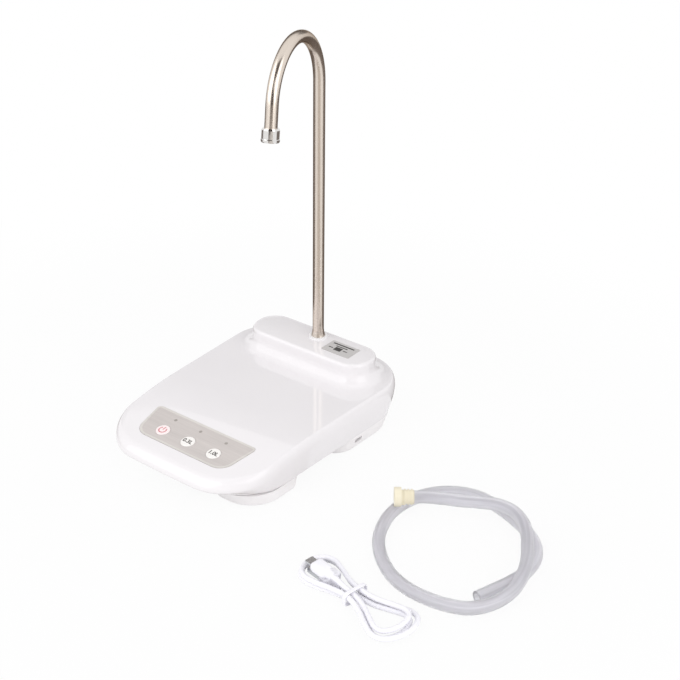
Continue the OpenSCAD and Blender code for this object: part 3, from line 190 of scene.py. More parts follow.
def add_tube(name, path, outer, inner, sides, body, across=None):
    """A tube along a path, with a bore unless inner is None; 'straight' is its unbent shape, in metres."""
    rings = tube_rings(path, outer, sides, across)
    straight = straight_rings(path, outer, sides)
    if inner is not None:
        rings = np.concatenate([rings, tube_rings(path, inner, sides, across)[::-1]])
        straight = np.concatenate([straight, straight_rings(path, inner, sides)[::-1]])
    piece = add_loft(name, rings, body, inner is not None)
    layer = piece.data.attributes.new("straight", "FLOAT_VECTOR", "POINT")
    layer.data.foreach_set("vector", (straight*MM).ravel().astype(np.float32))
    return piece


# %% [markdown]
# ## The suction hose
# A length of clear silicone tube with a wall of 1.5 mm. It lies on the table in one turn
# and a half, and its first turn lies over the rest wherever they cross. The route repeats
# the points that the solid follows.

# %% Hose
def lift(ring, height):
    """Points of a plan, with one height or a height for each."""
    z = np.broadcast_to(height, ring.shape[:1])
    return np.concatenate([ring, z[:, None]], -1)


HOSE_ROUTE = np.array([
    [154, -10, 16.8], [162, -4, 16.8], [171, 3, 15.5], [181, 11, 13.5], [192, 17.5, 13.5],
    [204, 21.5, 14.5], [216, 21, 14.8], [227, 15, 14.8], [236, 5, 14.8], [243.5, -7, 14.8],
    [250.5, -20, 14.5], [255, -34, 12.5], [255.5, -48.5, 9.5], [250.5, -61.5, 6.5]])
TABLE_ROUTE = np.array([
    [241, -72.5], [228.5, -79], [214, -82], [199.5, -82], [185.5, -78.5], [173, -71.5], [162, -62],
    [153, -50.5], [147, -37.5], [143.5, -23.5], [143.5, -9], [147, 5], [154, 17.5], [164.5, 27],
    [178, 32.5], [192, 32.5], [206, 29], [219.5, 24], [232, 17], [242.5, 7.5], [249, -5],
    [250.5, -19.5], [248, -33.5], [243.5, -47.5], [238.5, -61.5]])
HOSE_D, HOSE_BORE, HOSE_LOW = 9.0, 6.0, 4.7
HOSE_STEPS, HOSE_SIDES = 6, 28
hose_path = smooth_path(np.concatenate([HOSE_ROUTE, lift(TABLE_ROUTE, HOSE_LOW)]), HOSE_STEPS)
hose = add_tube("hose_tube", hose_path, HOSE_D/2, HOSE_BORE/2, HOSE_SIDES, "base")
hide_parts("suction_hose")
print("hose length", round(path_length(hose_path), 1))

# %% [markdown]
# ## The charging lead
# A thin white lead, folded into a hank of two and a half loops that a small tie draws in
# at the waist. Each loop is an oval pinched by a power of its own sine, it widens turn by
# turn to the middle of the lead and narrows again, and climbs one layer on the way. The
# two ends leave the hank for their plugs.

# %% Lead
LEAD_D = 3.6
HANK_AT = np.array([175.0, -108.0, 0.0])
HANK_TURN = math.radians(-11)
HANK_TURNS = 2.5
HANK_RINGS = 24
HANK_RIGHT, HANK_LEFT = 48.0, 48.5
HANK_BULGE, HANK_BULGE_RIGHT = 34.5, 4.0
HANK_DRAW, HANK_OVER, HANK_WAIST = 0.6, 2.0, 8.0
HANK_STEP = LEAD_D + 1.1
TIE_W, TIE_T, TIE_GAP = 3.0, 0.8, 0.4
OVER_TIE, OVER_TIE_L = TIE_T + 0.2, 30
LEAD_STEPS, LEAD_SIDES = 5, 14
LOW_Z = LEAD_D/2 + 0.1
LAYER_Z = LEAD_D + 0.6
PLUG_A_U, PLUG_A_Z = -12.0, 3.9
PLUG_B_U, PLUG_B_V, PLUG_B_Z = -16.0, -5.0, 12.4


def hank_points(n):
    """Loop n: an oval with a pinched waist, drawn in by its distance from the middle turn."""
    a = 2*np.pi*n - np.pi/2
    s, c = np.sin(a), np.cos(a)
    drawn = HANK_STEP*np.abs(n - HANK_TURNS/2)
    t = np.clip(2*(n - HANK_TURNS/2) + 0.5, 0, 1)
    climb = t*t*(3 - 2*t)
    u = (np.where(c > 0, HANK_RIGHT, HANK_LEFT) - c*c*(drawn + HANK_OVER*climb))*c
    bulge = HANK_BULGE + HANK_BULGE_RIGHT*c - HANK_DRAW*drawn - HANK_OVER*climb
    v = np.sign(s)*np.sqrt(np.abs(s))*drawn - s*(bulge - (bulge - HANK_WAIST)*np.abs(s)**3)
    raised = OVER_TIE*np.clip(1 - np.abs(u)/OVER_TIE_L, 0, None)**2
    return np.stack([u, v, LOW_Z + LAYER_Z*climb + raised], -1)


def in_hank(points):
    """From the hank's own frame to the part's: turned about Z, then moved."""
    return turned(points, HANK_TURN) + HANK_AT


hank = hank_points(np.arange(int(HANK_TURNS*HANK_RINGS) + 1)/HANK_RINGS)
lead_start, lead_end = hank[0], hank[-1]
lead_route = np.concatenate([
    [[PLUG_A_U, 0, PLUG_A_Z], [PLUG_A_U + LEAD_D, 0, PLUG_A_Z],
     [PLUG_A_U + 2*LEAD_D, lead_start[1]/2, (PLUG_A_Z + lead_start[2])/2]],
    hank,
    [[PLUG_B_U + 2.6*LEAD_D, lead_end[1] - 0.4, lead_end[2] + 0.8],
     [PLUG_B_U + 1.8*LEAD_D, (lead_end[1] + PLUG_B_V)/2, PLUG_B_Z - 2.4],
     [PLUG_B_U + LEAD_D, PLUG_B_V, PLUG_B_Z], [PLUG_B_U, PLUG_B_V, PLUG_B_Z]]])
lead_path = in_hank(smooth_path(lead_route, LEAD_STEPS))
lead = add_tube("lead_wire", lead_path, LEAD_D/2, None, LEAD_SIDES, "base")
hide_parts("usb_cable")
print("lead length", round(path_length(lead_path), 1))

# %% [markdown]
# ## The plugs and the tie
# Moulded plugs are soft-cornered blocks that narrow towards the wire. A superellipse, which
# is an ellipse with fuller corners, carried along the plug with its own width and height
# at each station, gives that shape without a bevel. The tie is a flat band on a loop.

# %% Plugs and tie
def superellipse(half_w, half_h, power, count):
    """Points of |y/w|^power + |z/h|^power = 1, anticlockwise from +y, for each station."""
    a = angles(count)
    y = np.sign(np.cos(a))*np.abs(np.cos(a))**(2/power)
    z = np.sign(np.sin(a))*np.abs(np.sin(a))**(2/power)
    return np.stack([np.outer(half_w, y), np.outer(half_h, z)], -1)


PLUG_SIDES = 48


def add_plug(name, stations, start, power):
    """A superellipse along the hank's X axis; a station is x from the start, half width, half height."""
    x, half_w, half_h = np.array(stations, float).T
    outline = superellipse(half_w, half_h, power, PLUG_SIDES)
    rings = np.concatenate([np.broadcast_to(x[:, None, None], outline.shape[:2] + (1,)), outline], -1)
    return add_loft(name, in_hank(rings + start), "base", crease=60.0)


MICRO_L, MICRO_POWER = 17.0, 3.6
micro_plug = add_plug("micro_plug_body", [
    (0, 3.9, 2.2), (0.25, 4.6, 2.9), (0.9, 5.05, 3.35), (2.5, 5.2, 3.5), (8, 5.2, 3.5), (10.5, 5.0, 3.4),
    (11.6, 4.4, 3.2), (12.3, 3.3, 2.9), (12.8, 2.9, 2.7), (16.5, 2.3, 2.3), (16.9, 2.1, 2.1),
    (MICRO_L, 1.8, 1.8)], [PLUG_B_U - MICRO_L, PLUG_B_V, PLUG_B_Z], MICRO_POWER)
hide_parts("micro_usb_plug")
USB_L, USB_RELIEF, USB_POWER = 8.0, 8.0, 4.0
usb_plug = add_plug("usb_plug_body", [
    (0, 6.2, 2.9), (0.3, 6.9, 3.5), (1.0, 7.3, 3.8), (5.5, 7.3, 3.8), (7.1, 6.9, 3.7), (7.8, 5.4, 3.4),
    (USB_L, 3.2, 3.0), (8.7, 2.95, 2.95), (15.0, 2.4, 2.4), (15.7, 2.2, 2.2),
    (USB_L + USB_RELIEF, 1.8, 1.8)], [PLUG_A_U - USB_RELIEF - USB_L, 0, PLUG_A_Z], USB_POWER)
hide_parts("usb_a_plug")
tie_half = HANK_WAIST - HANK_STEP/4 + LEAD_D/2 + TIE_GAP
tie_top = lead_end[2] + LEAD_D/2 + TIE_GAP
tie_mid = (tie_top + TIE_T)/2
LOOP_POWER, BAND_POWER, LOOP_N, BAND_N = 5.0, 4.0, 72, 16
loop = superellipse([tie_half + TIE_T/2], [tie_mid - TIE_T/2], LOOP_POWER, LOOP_N)[0]
band = superellipse([TIE_W/2], [TIE_T/2], BAND_POWER, BAND_N)[0]
outward = unit(np.roll(loop, -1, 0) - np.roll(loop, 1, 0))[:, ::-1]*[1, -1]
tie_rings = np.stack([
    np.broadcast_to(band[None, :, 0], (LOOP_N, BAND_N)),
    loop[:, None, 0] + outward[:, None, 0]*band[None, :, 1],
    loop[:, None, 1] + outward[:, None, 1]*band[None, :, 1] + tie_mid], -1)
tie = add_loft("tie_band", in_hank(tie_rings), "base", ring_shut=True)
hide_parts("cable_tie")

# %% [markdown]
# ## The upper shell
# One glossy moulding: a skirt that bulges, a rolled edge, a plate that droops to the panel,
# a hollow fillet and the deck. It is a single loft of plans. A plan is four quarter circles
# joined by straight sides, with a slight bow in front, and every ring moves that plan in
# by its own amounts. The inner wall is the same loft, a wall thickness further in.

# %% Plans of the body
BODY_W, FRONT_W, BODY_L = 152.0, 142.0, 210.0
UNDERSIDE_H, WALL = 13.0, 2.4
FRONT_R, REAR_R, FRONT_BOW = 40.0, 40.0, 2.0
SIDE_LEAN, LIP_LEAN, REAR_LEAN, LIP_RISE = 2.0, 8.0, 9.0, 7.0
EDGE_DROP, EDGE_SIDE, EDGE_FRONT = 8.0, 3.0, 9.0
DECK_L, DECK_W, DECK_R, DECK_RISE = 114.0, 36.0, 17.0, 16.5
DECK_FILLET, DECK_EDGE = 10.0, 2.5
PLATE_H = 39.54
DECK_H = PLATE_H + DECK_RISE
SPOUT_IN, DECK_SHIFT = 27.5, 6.5
SPOUT_Y = BODY_L/2 - SPOUT_IN
DECK_Y = SPOUT_Y - DECK_SHIFT
PANEL_TILT, PANEL_IN = math.radians(6.9), 28.8
PANEL_BACK, PANEL_FORE = 21.3, 11.4
PANEL_Y = -BODY_L/2 + PANEL_IN
DROOP_L, DROOP_GAP = 36.0, 4.0
DROOP_END = PANEL_Y + PANEL_BACK + DROOP_GAP
DROOP_Y = DROOP_END + DROOP_L
LIP_L, LIP_IN = 45.0, 11.0
LIP_Y = LIP_L + LIP_IN - BODY_L/2
CORNER_N, SIDE_N, END_N = 16, 22, 22


def arc(x, y, r, start):
    """Quarter circle from an angle in degrees."""
    return [x, y] + r*polar(np.radians(start + 90*np.arange(CORNER_N + 1)/CORNER_N))


def between(a, b, count):
    """Points on a straight line, without its ends."""
    return a + (b - a)*(np.arange(1, count + 1)/(count + 1))[:, None]


def plan(wf, wr, yf, yr, rf, rr, bow=0.0):
    """Four corners and four sides, anticlockwise from the front right; the front bows forward."""
    fr, br = arc(wf - rf, yf + rf, rf, -90), arc(wr - rr, yr - rr, rr, 0)
    bl, fl = arc(rr - wr, yr - rr, rr, 90), arc(rf - wf, yf + rf, rf, 180)
    ring = np.concatenate([fr, between(fr[-1], br[0], SIDE_N), br, between(br[-1], bl[0], END_N),
                           bl, between(bl[-1], fl[0], SIDE_N), fl, between(fl[-1], fr[0], END_N)])
    near = np.clip((yf + rf - ring[:, 1])/rf, 0, None)
    ring[:, 1] -= bow*(1 - (ring[:, 0]/wf)**2)*near
    return ring


def body_plan(side, front, rear):
    """The body's outline moved in at the sides, the front and the rear."""
    return plan(FRONT_W/2 - side, BODY_W/2 - side, FRONT_BOW + front - BODY_L/2, BODY_L/2 - rear,
                FRONT_R - (side + front)/2, REAR_R - (side + rear)/2, FRONT_BOW)


def deck_plan(grow):
    """The deck's outline grown all round."""
    half, y0, y1 = DECK_L/2 + grow, DECK_Y - DECK_W/2 - grow, DECK_Y + DECK_W/2 + grow
    return plan(half, half, y0, y1, DECK_R + grow, DECK_R + grow)


def top_z(y):
    """Level plate, then a parabola that eases into the straight slope of the panel."""
    slope = math.tan(PANEL_TILT)
    ease = PLATE_H - slope*np.clip(DROOP_Y - y, 0, DROOP_L)**2/(2*DROOP_L)
    return ease - slope*np.clip(DROOP_END - y, 0, None)


def skirt_z(y):
    """Level lower edge that rises smoothly under the front lip."""
    t = np.clip((LIP_Y - y)/LIP_L, 0, 1)
    return UNDERSIDE_H + LIP_RISE*t*t*(3 - 2*t)


# %% Shell
SKIRT_POWER = 1.56


def skirt_ring(t, inset):
    """Lower wall at share t of its height; its lean fades with a power, so that it bulges."""
    fade = (1 - t)**SKIRT_POWER
    ring = body_plan(SIDE_LEAN*fade + inset, LIP_LEAN*fade + inset, REAR_LEAN*fade + inset)
    low = skirt_z(ring[:, 1])
    return lift(ring, low + t*(top_z(ring[:, 1]) - EDGE_DROP - low))


def edge_ring(a, inset):
    """Rolled edge: a quarter ellipse that is wider over the front lip."""
    c, s = math.cos(a), math.sin(a)
    ring = body_plan(inset + EDGE_SIDE*(1 - c), inset + EDGE_FRONT*(1 - c), inset + EDGE_SIDE*(1 - c))
    return lift(ring, top_z(ring[:, 1]) - inset - (EDGE_DROP - inset)*(1 - s))


def fillet_ring(a, inset):
    """Hollow fillet at the foot of the deck: a quarter circle seen from outside."""
    r = DECK_FILLET + inset
    return lift(deck_plan(DECK_FILLET - r*math.sin(a)), PLATE_H + DECK_FILLET - r*math.cos(a))


def deck_ring(a, inset):
    """Rounded top edge of the deck."""
    ring = deck_plan(-inset - DECK_EDGE*(1 - math.cos(a)))
    return lift(ring, DECK_H - inset - DECK_EDGE*(1 - math.sin(a)))


def plate_ring(t, inset):
    """Part of the way from the rolled edge to the foot of the fillet, at the plate's own height."""
    flat = (1 - t)*edge_ring(math.pi/2, inset)[:, :2] + t*fillet_ring(0.0, inset)[:, :2]
    return lift(flat, top_z(flat[:, 1]) - inset)


def shell_rings(inset, skirt, edge, plate, fillet, rim):
    """All rings of one wall, from the skirt's lower edge to the middle of the deck."""
    quarter = math.pi/2
    rings = [skirt_ring(t, inset) for t in np.arange(skirt)/skirt]
    rings += [edge_ring(a, inset) for a in np.linspace(0, quarter, edge + 1)]
    rings += [plate_ring(t, inset) for t in np.linspace(0, 1, plate + 2)[1:-1]]
    rings += [fillet_ring(a, inset) for a in np.linspace(0, quarter, fillet + 1)]
    rings += [deck_ring(a, inset) for a in np.linspace(0, quarter, rim + 1)]
    return np.stack(rings)


outer = shell_rings(0.0, skirt=12, edge=12, plate=44, fillet=14, rim=6)
inner = shell_rings(WALL, skirt=3, edge=4, plate=8, fillet=5, rim=2)
shell = add_loft("shell_skin", np.concatenate([inner[::-1], outer]), "base", crease=50.0)
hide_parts("top_shell")

# %% [markdown]
# ## Cutting the shell
# The panel lies in a shallow pocket, and the buttons, lamps, spout and hose port pass through
# holes. These are cut with a Boolean after the loft, because a ring that had to follow
# the pocket's outline would spoil the smooth plate around it. Nothing of a cutter is kept.

# %% Panel outline and cutters
PANEL_REAR_W, PANEL_FRONT_W = 97.0, 86.0
PANEL_R, PANEL_REAR_R, PANEL_CORNER_N = 12.0, 3.0, 10
PANEL_T, PANEL_PROUD, PANEL_GAP = 1.2, 0.15, 0.15
BUTTON_PITCH, BUTTON_D, BUTTON_PROUD, BUTTON_GAP = 25.0, 11.0, 0.5, 0.2
LAMP_ROW, LAMP_D, LAMP_GAP = 13.9, 2.4, 0.1


def round_corner(a, b, c, r, steps):
    """Arc of radius r that touches the lines from corner b to a and to c."""
    u, v = unit(a - b), unit(c - b)
    half = math.acos(float(u @ v))/2
    middle = b + unit(u + v)*r/math.sin(half)
    first = b + u*r/math.tan(half) - middle
    last = b + v*r/math.tan(half) - middle
    start = math.atan2(first[1], first[0])
    turn = (math.atan2(last[1], last[0]) - start + math.pi) % (2*math.pi) - math.pi
    angle = start + turn*np.arange(steps + 1)/steps
    return middle + r*polar(angle)


def panel_outline(grow):
    """The panel's four corners, each with its own radius, grown all round."""
    rear, front = PANEL_REAR_W/2 + grow, PANEL_FRONT_W/2 + grow
    back, fore = PANEL_BACK + grow, -PANEL_FORE - grow
    corners = np.array([[rear, back], [-rear, back], [-front, fore], [front, fore]])
    radii = [PANEL_REAR_R + grow, PANEL_REAR_R + grow, PANEL_R + grow, PANEL_R + grow]
    return np.concatenate([
        round_corner(corners[i - 1], corners[i], corners[(i + 1) % 4], radii[i], PANEL_CORNER_N)
        for i in range(4)])


def on_panel(points):
    """From the panel's tilted frame to the part's."""
    x, y, z = np.moveaxis(np.asarray(points, float), -1, 0)
    c, s = math.cos(PANEL_TILT), math.sin(PANEL_TILT)
    height = float(top_z(np.array(PANEL_Y)))
    return np.stack([x, PANEL_Y + y*c - z*s, height + y*s + z*c], -1)


def prism(outline, low, high):
    """Two rings of one outline."""
    return np.stack([lift(outline, low), lift(outline, high)])


def circle(x, y, r, count=48):
    """Round outline, anticlockwise."""
    return [x, y] + r*polar(angles(count))


def cut(piece, cutters):
    """Takes lofted cutters out of a piece for good."""
    points = np.concatenate([rings.reshape(-1, 3) for rings in cutters])
    starts = np.cumsum([0] + [rings.shape[0]*rings.shape[1] for rings in cutters])
    faces = [[int(i + start) for i in face] for rings, start in zip(cutters, starts)
             for face in loft_faces(*rings.shape[:2], False)]
    mesh = bpy.data.meshes.new("cutter")
    mesh.from_pydata((points*MM).tolist(), [], faces)
    tool = put_in_scene("cutter", mesh)
    step = piece.modifiers.new("cut", "BOOLEAN")
    step.operation = "DIFFERENCE"
    step.solver = "EXACT"
    step.use_self = False
    step.object = tool
    bpy.context.view_layer.update()
    shape = piece.evaluated_get(bpy.context.evaluated_depsgraph_get())
    done = bpy.data.meshes.new_from_object(shape)
    piece.modifiers.clear()
    old = piece.data
    piece.data = done
    done.name = piece.name
    bpy.data.meshes.remove(old)
    bpy.data.objects.remove(tool)
    bpy.data.meshes.remove(mesh)
    print(piece.name, "after its cuts", len(done.vertices), "points")


OVER, PORT_OVER = 1.0, 7.0
BARREL_D, BARREL_GAP = 13.0, 0.2
SMALL_HOLE_N = 24
SOCKET_END = 27.2
PORT_X, PORT_Z, PORT_FACE, PORT_D, PORT_L = 30.0, 23.5, 103.5, 18.0, 14.0
shell_cutters = [on_panel(prism(panel_outline(PANEL_GAP), PANEL_PROUD - PANEL_T, OVER))]
for i in (-1, 0, 1):
    button_hole = circle(i*BUTTON_PITCH, 0.0, BUTTON_D/2 + BUTTON_GAP)
    lamp_hole = circle(i*BUTTON_PITCH, LAMP_ROW, LAMP_D/2 + LAMP_GAP, SMALL_HOLE_N)
    shell_cutters.append(on_panel(prism(button_hole, -2*WALL, -PANEL_T/2)))
    shell_cutters.append(on_panel(prism(lamp_hole, -2*WALL, -PANEL_T/2)))
shell_cutters.append(prism(circle(0.0, SPOUT_Y, BARREL_D/2 + BARREL_GAP), SOCKET_END, DECK_H + OVER))
port_hole = circle(0.0, 0.0, PORT_D/2 + BARREL_GAP)
port_rings = np.stack([
    np.stack([PORT_X + port_hole[:, 0], np.full(len(port_hole), y), PORT_Z - port_hole[:, 1]], -1)
    for y in (PORT_FACE - PORT_L - OVER, PORT_FACE + PORT_OVER)])
shell_cutters.append(port_rings)
cut(shell, shell_cutters)

# %% [markdown]
# ## The lower housing
# A matt tray closes the shell from below and stands on four feet. The tray is a loft of
# the same plan, and each foot is a loft of a round-cornered box that narrows to the table.

# %% Tray and feet
FLOOR_T, SHELL_GAP = 2.2, 0.3
FOOT_Z, FOOT_TOP = 1.5, UNDERSIDE_H - SHELL_GAP
RIM_H, RIM_T, CHIN = 4.0, 2.0, 8.0
TUB_S, TUB_F, TUB_R = (lean + WALL + SHELL_GAP for lean in (SIDE_LEAN, LIP_LEAN, REAR_LEAN))
TUB_DRAFT, FOOT_INSET = 0.6, 0.4
FOOT_IN = SIDE_LEAN + FOOT_INSET/2
FOOT_ROOT = TUB_S + TUB_DRAFT + FOOT_INSET - FOOT_IN
FRONT_FOOT_L, FRONT_FOOT_W, REAR_FOOT_L, REAR_FOOT_W = 52.0, 42.0, 86.0, 44.0
FOOT_DRAFT, FOOT_END_DRAFT, FOOT_EDGE = 1.5, 4.0, 2.0
FRONT_FOOT_RADII, REAR_FOOT_RADII = np.array([[27.0, 7.0, 14.0, 7.5], [20.0, 34.5, 7.5, 14.0]])
FRONT_FOOT_X, REAR_FOOT_X = FRONT_W/2 - FOOT_IN, BODY_W/2 - FOOT_IN
FRONT_FOOT_Y = FRONT_BOW + TUB_F + CHIN + FOOT_INSET - BODY_L/2
REAR_FOOT_Y = BODY_L/2 - REAR_LEAN - FOOT_INSET/2
SIDE_Y0, SIDE_Y1 = FRONT_BOW + FRONT_R - BODY_L/2, BODY_L/2 - REAR_R
SIDE_SLOPE = (BODY_W - FRONT_W)/2/(SIDE_Y1 - SIDE_Y0)


def tray_ring(side, front, rear, height):
    """The body's plan moved in, at a height that follows the skirt or stays level."""
    ring = body_plan(side, front, rear)
    return lift(ring, height(ring[:, 1]))


def box_plan(x0, x1, y0, y1, radii):
    """A box with its own radius at the right front, right rear, left rear and left front."""
    a, b, c, d = radii
    return np.concatenate([arc(x1 - a, y0 + a, a, -90), arc(x1 - b, y1 - b, b, 0),
                           arc(x0 + c, y1 - c, c, 90), arc(x0 + d, y0 + d, d, 180)])


def foot_plan(x, w, y0, y1, radii, d, kept_y):
    """A box moved in by d at its sides, then sheared as the body's sides spread; kept_y keeps its place."""
    ring = box_plan(x - w + d, x - d, y0, y1, radii - d)
    return ring + np.stack([SIDE_SLOPE*(ring[:, 1] - kept_y), np.zeros(len(ring))], -1)


def front_foot(d, e):
    """Right front foot moved in by d at its sides and e at its outer end."""
    return foot_plan(FRONT_FOOT_X, FRONT_FOOT_W, FRONT_FOOT_Y + e, FRONT_FOOT_Y + FRONT_FOOT_L - d,
                     FRONT_FOOT_RADII, d, SIDE_Y0)


def rear_foot(d, e):
    """Right rear foot, in the same way."""
    return foot_plan(REAR_FOOT_X, REAR_FOOT_W, REAR_FOOT_Y - REAR_FOOT_L + d, REAR_FOOT_Y - e,
                     REAR_FOOT_RADII, d, SIDE_Y1)


def foot_rings(outline):
    """Rounded sole, drafted side that ends flush below the skirt, and a narrower root in the tray."""
    rings = []
    for a in np.linspace(0, math.pi/2, 7):
        d = FOOT_EDGE*(1 - math.sin(a))
        ring = outline(FOOT_DRAFT + d, FOOT_END_DRAFT + d)
        rings.append(lift(ring, FOOT_Z + FOOT_EDGE*(1 - math.cos(a))))
    for t in np.linspace(0, 1, 5)[1:]:
        ring = outline(FOOT_DRAFT*(1 - t), FOOT_END_DRAFT*(1 - t))
        rings.append(lift(ring, FOOT_Z + FOOT_EDGE + t*(FOOT_TOP - FOOT_Z - FOOT_EDGE)))
    rings.append(lift(outline(FOOT_ROOT, FOOT_ROOT), FOOT_TOP))
    rings.append(lift(outline(FOOT_ROOT, FOOT_ROOT), UNDERSIDE_H + FLOOR_T/2))
    return np.stack(rings)


tray_rings = np.stack([
    tray_ring(TUB_S + TUB_DRAFT, TUB_F + CHIN, TUB_R + TUB_DRAFT, lambda y: UNDERSIDE_H),
    tray_ring(TUB_S, TUB_F, TUB_R, lambda y: skirt_z(y) + TUB_DRAFT),
    tray_ring(TUB_S, TUB_F, TUB_R, lambda y: skirt_z(y) + RIM_H),
    tray_ring(TUB_S + RIM_T, TUB_F + RIM_T, TUB_R + RIM_T, lambda y: skirt_z(y) + RIM_H),
    tray_ring(TUB_S + RIM_T + TUB_DRAFT, TUB_F + CHIN + RIM_T, TUB_R + RIM_T + TUB_DRAFT,
              lambda y: UNDERSIDE_H + FLOOR_T)])
tray = add_loft("tray_skin", tray_rings, "base", crease=30.0)
PAD_D, PAD_SINK, SEAT_GAP = 14.0, 0.8, 0.1
FRONT_PAD_IN, FRONT_PAD_BACK, REAR_PAD_OUT = 1.0, 3.0, 2.0
SCREW_X, SCREW_FRONT_Y, SCREW_REAR_Y, SCREW_HOLE_D = 56.0, -23.9, 3.8, 4.2
screw_holes = [circle(x, y, SCREW_HOLE_D/2, SMALL_HOLE_N)
               for x in (-SCREW_X, SCREW_X) for y in (SCREW_FRONT_Y, SCREW_REAR_Y)]
cut(tray, [port_rings] + [prism(hole, UNDERSIDE_H - OVER, UNDERSIDE_H + FLOOR_T + OVER)
                          for hole in screw_holes])
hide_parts("bottom_housing")
PAD_SPOTS = {
    "front": (FRONT_FOOT_X - FRONT_FOOT_W/2 - FRONT_PAD_IN, FRONT_FOOT_Y + FRONT_FOOT_L/2 + FRONT_PAD_BACK),
    "rear": (REAR_FOOT_X - REAR_FOOT_W/2 + REAR_PAD_OUT, REAR_FOOT_Y - REAR_FOOT_L/2)}
CHARGE_Y, CHARGE_Z, CHARGE_X = 35.8, 7.85, 65.5
SLIT_W, SLIT_H, SLIT_R, SLIT_IN, SLIT_OUT = 8.4, 3.4, 1.2, 7.0, 10.0
for side, flip in (("right", 1.0), ("left", -1.0)):
    for end, outline in (("front", front_foot), ("rear", rear_foot)):
        rings = foot_rings(outline)
        x, y = PAD_SPOTS[end]
        tools = [prism(circle(x, y, PAD_D/2 + SEAT_GAP), FOOT_Z - OVER, FOOT_Z + PAD_SINK)]
        if flip < 0:
            rings = rings[:, ::-1]*[-1, 1, 1]
            tools = [tool[:, ::-1]*[-1, 1, 1] for tool in tools]
        elif end == "rear":
            slit = box_plan(CHARGE_Y - SLIT_W/2, CHARGE_Y + SLIT_W/2,
                            CHARGE_Z - SLIT_H/2, CHARGE_Z + SLIT_H/2, [SLIT_R]*4)
            tools.append(prism(slit, CHARGE_X - SLIT_IN, CHARGE_X + SLIT_OUT)[..., [2, 0, 1]])
        foot = add_loft(f"foot_{end}_{side}", rings, "base", crease=30.0)
        cut(foot, tools)
        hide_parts("bottom_housing")

# %% [markdown]
# ## The spout
# A stainless tube, bent in one plane: riser, bend and a short leg. A circle carried along
# that line has even quads round the bend, and the brushing can follow the tube. The foot
# of the tube is flared into a hollow cone, which is a profile turned about the axis.

# %% Spout tube and ferrule
TUBE_D, TUBE_WALL, RISER_H, INSERT_L = 9.0, 0.8, 210.0, 20.0
BEND_R, BEND_ANGLE, LEG_L = 41.5, math.radians(171), 22.0
RISER_N, BEND_N, LEG_N, TUBE_SIDES = 90, 72, 10, 40
SPOUT_TURN = math.radians(15.5)
BEND_Z = DECK_H + RISER_H


def at_spout(points):
    """From the spout's own plane to the part's frame."""
    return turned(points, SPOUT_TURN) + [0, SPOUT_Y, 0]


def spout_line():
    """Straight up, round the bend, and straight on along the bend's last heading."""
    riser = np.linspace(DECK_H - INSERT_L, BEND_Z, RISER_N)[:-1]
    bend = [-BEND_R, BEND_Z] + BEND_R*polar(np.linspace(0, BEND_ANGLE, BEND_N))
    leg = np.linspace(0, LEG_L, LEG_N)[1:]
    heading = np.array([-math.sin(BEND_ANGLE), math.cos(BEND_ANGLE)])
    yz = np.concatenate([np.stack([0*riser, riser], -1), bend, bend[-1] + leg[:, None]*heading])
    return np.concatenate([np.zeros((len(yz), 1)), yz], -1)


spout_path = at_spout(spout_line())
spout_across = np.array([math.cos(SPOUT_TURN), math.sin(SPOUT_TURN), 0.0])
spout = add_tube("spout_skin", spout_path, TUBE_D/2, TUBE_D/2 - TUBE_WALL, TUBE_SIDES, "spout",
                 spout_across)
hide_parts("spout_tube")


def turned_rings(profile, count):
    """A closed profile of radius and height turned about the Z axis; one ring for each profile point."""
    a = angles(count)
    r, z = np.asarray(profile, float).T
    return np.stack([np.outer(r, np.cos(a)), np.outer(r, np.sin(a)), np.outer(z, np.ones(count))], -1)


COLLAR_H, COLLAR_GAP, FERRULE_H, FERRULE_FLARE, FERRULE_RIM = 1.2, 0.1, 5.0, 1.0, 0.1
FLARE_POWER, FLARE_N, FERRULE_SIDES = 1.6, 18, 48
ferrule_bore = TUBE_D/2 + 0.02
flare_t = np.linspace(0, 1, FLARE_N)
flare_r = ferrule_bore + FERRULE_RIM + (FERRULE_FLARE - FERRULE_RIM)*(1 - flare_t)**FLARE_POWER
flare_low = DECK_H + COLLAR_H + COLLAR_GAP
ferrule_profile = np.concatenate([
    np.stack([flare_r, flare_low + flare_t*FERRULE_H], -1),
    [[ferrule_bore, flare_low + FERRULE_H], [ferrule_bore, flare_low]]])
ferrule_rings = at_spout(turned_rings(ferrule_profile, FERRULE_SIDES))
ferrule = add_loft("ferrule_skin", ferrule_rings, "spout", ring_shut=True)
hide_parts("spout_ferrule")

# %% [markdown]
# ## Prints, and a painted highlight
# A pale band round the panel's edge paints the highlight of its bevel, and each button has a
# sign: a power sign in red and the two volumes in grey. They are thin closed plates, so that
# they still show as geometry in a plain viewer. The sticker on the deck carries only plain bars.

# %% Painted highlight on the panel's edge, and button signs
PRINT_T, PRINT_GAP = 0.04, 0.01
# The pale band round the panel's edge is a painted highlight of its bevel.
EDGE_HIGHLIGHT_IN, EDGE_HIGHLIGHT_W = 0.15, 1.9
highlight_low = PANEL_PROUD + PRINT_GAP
highlight_outer = prism(panel_outline(-EDGE_HIGHLIGHT_IN), highlight_low, highlight_low + PRINT_T)
highlight_inner = prism(panel_outline(-EDGE_HIGHLIGHT_W), highlight_low + PRINT_T, highlight_low)
highlight_rings = np.concatenate([highlight_outer, highlight_inner])
add_loft("panel_edge_highlight", on_panel(highlight_rings), "base", ring_shut=True)
CAP_PRINT = PANEL_PROUD + BUTTON_PROUD + PRINT_GAP


def flat_band(line, width, low):
    """A strip of some width along a flat line, as closed rings of four points."""
    heading = unit(np.gradient(line, axis=0))
    side = np.stack([heading[:, 1], -heading[:, 0]], -1)*width/2
    left, right = line - side, line + side
    rings = [lift(right, low), lift(right, low + PRINT_T), lift(left, low + PRINT_T), lift(left, low)]
    return np.stack(rings, 1)


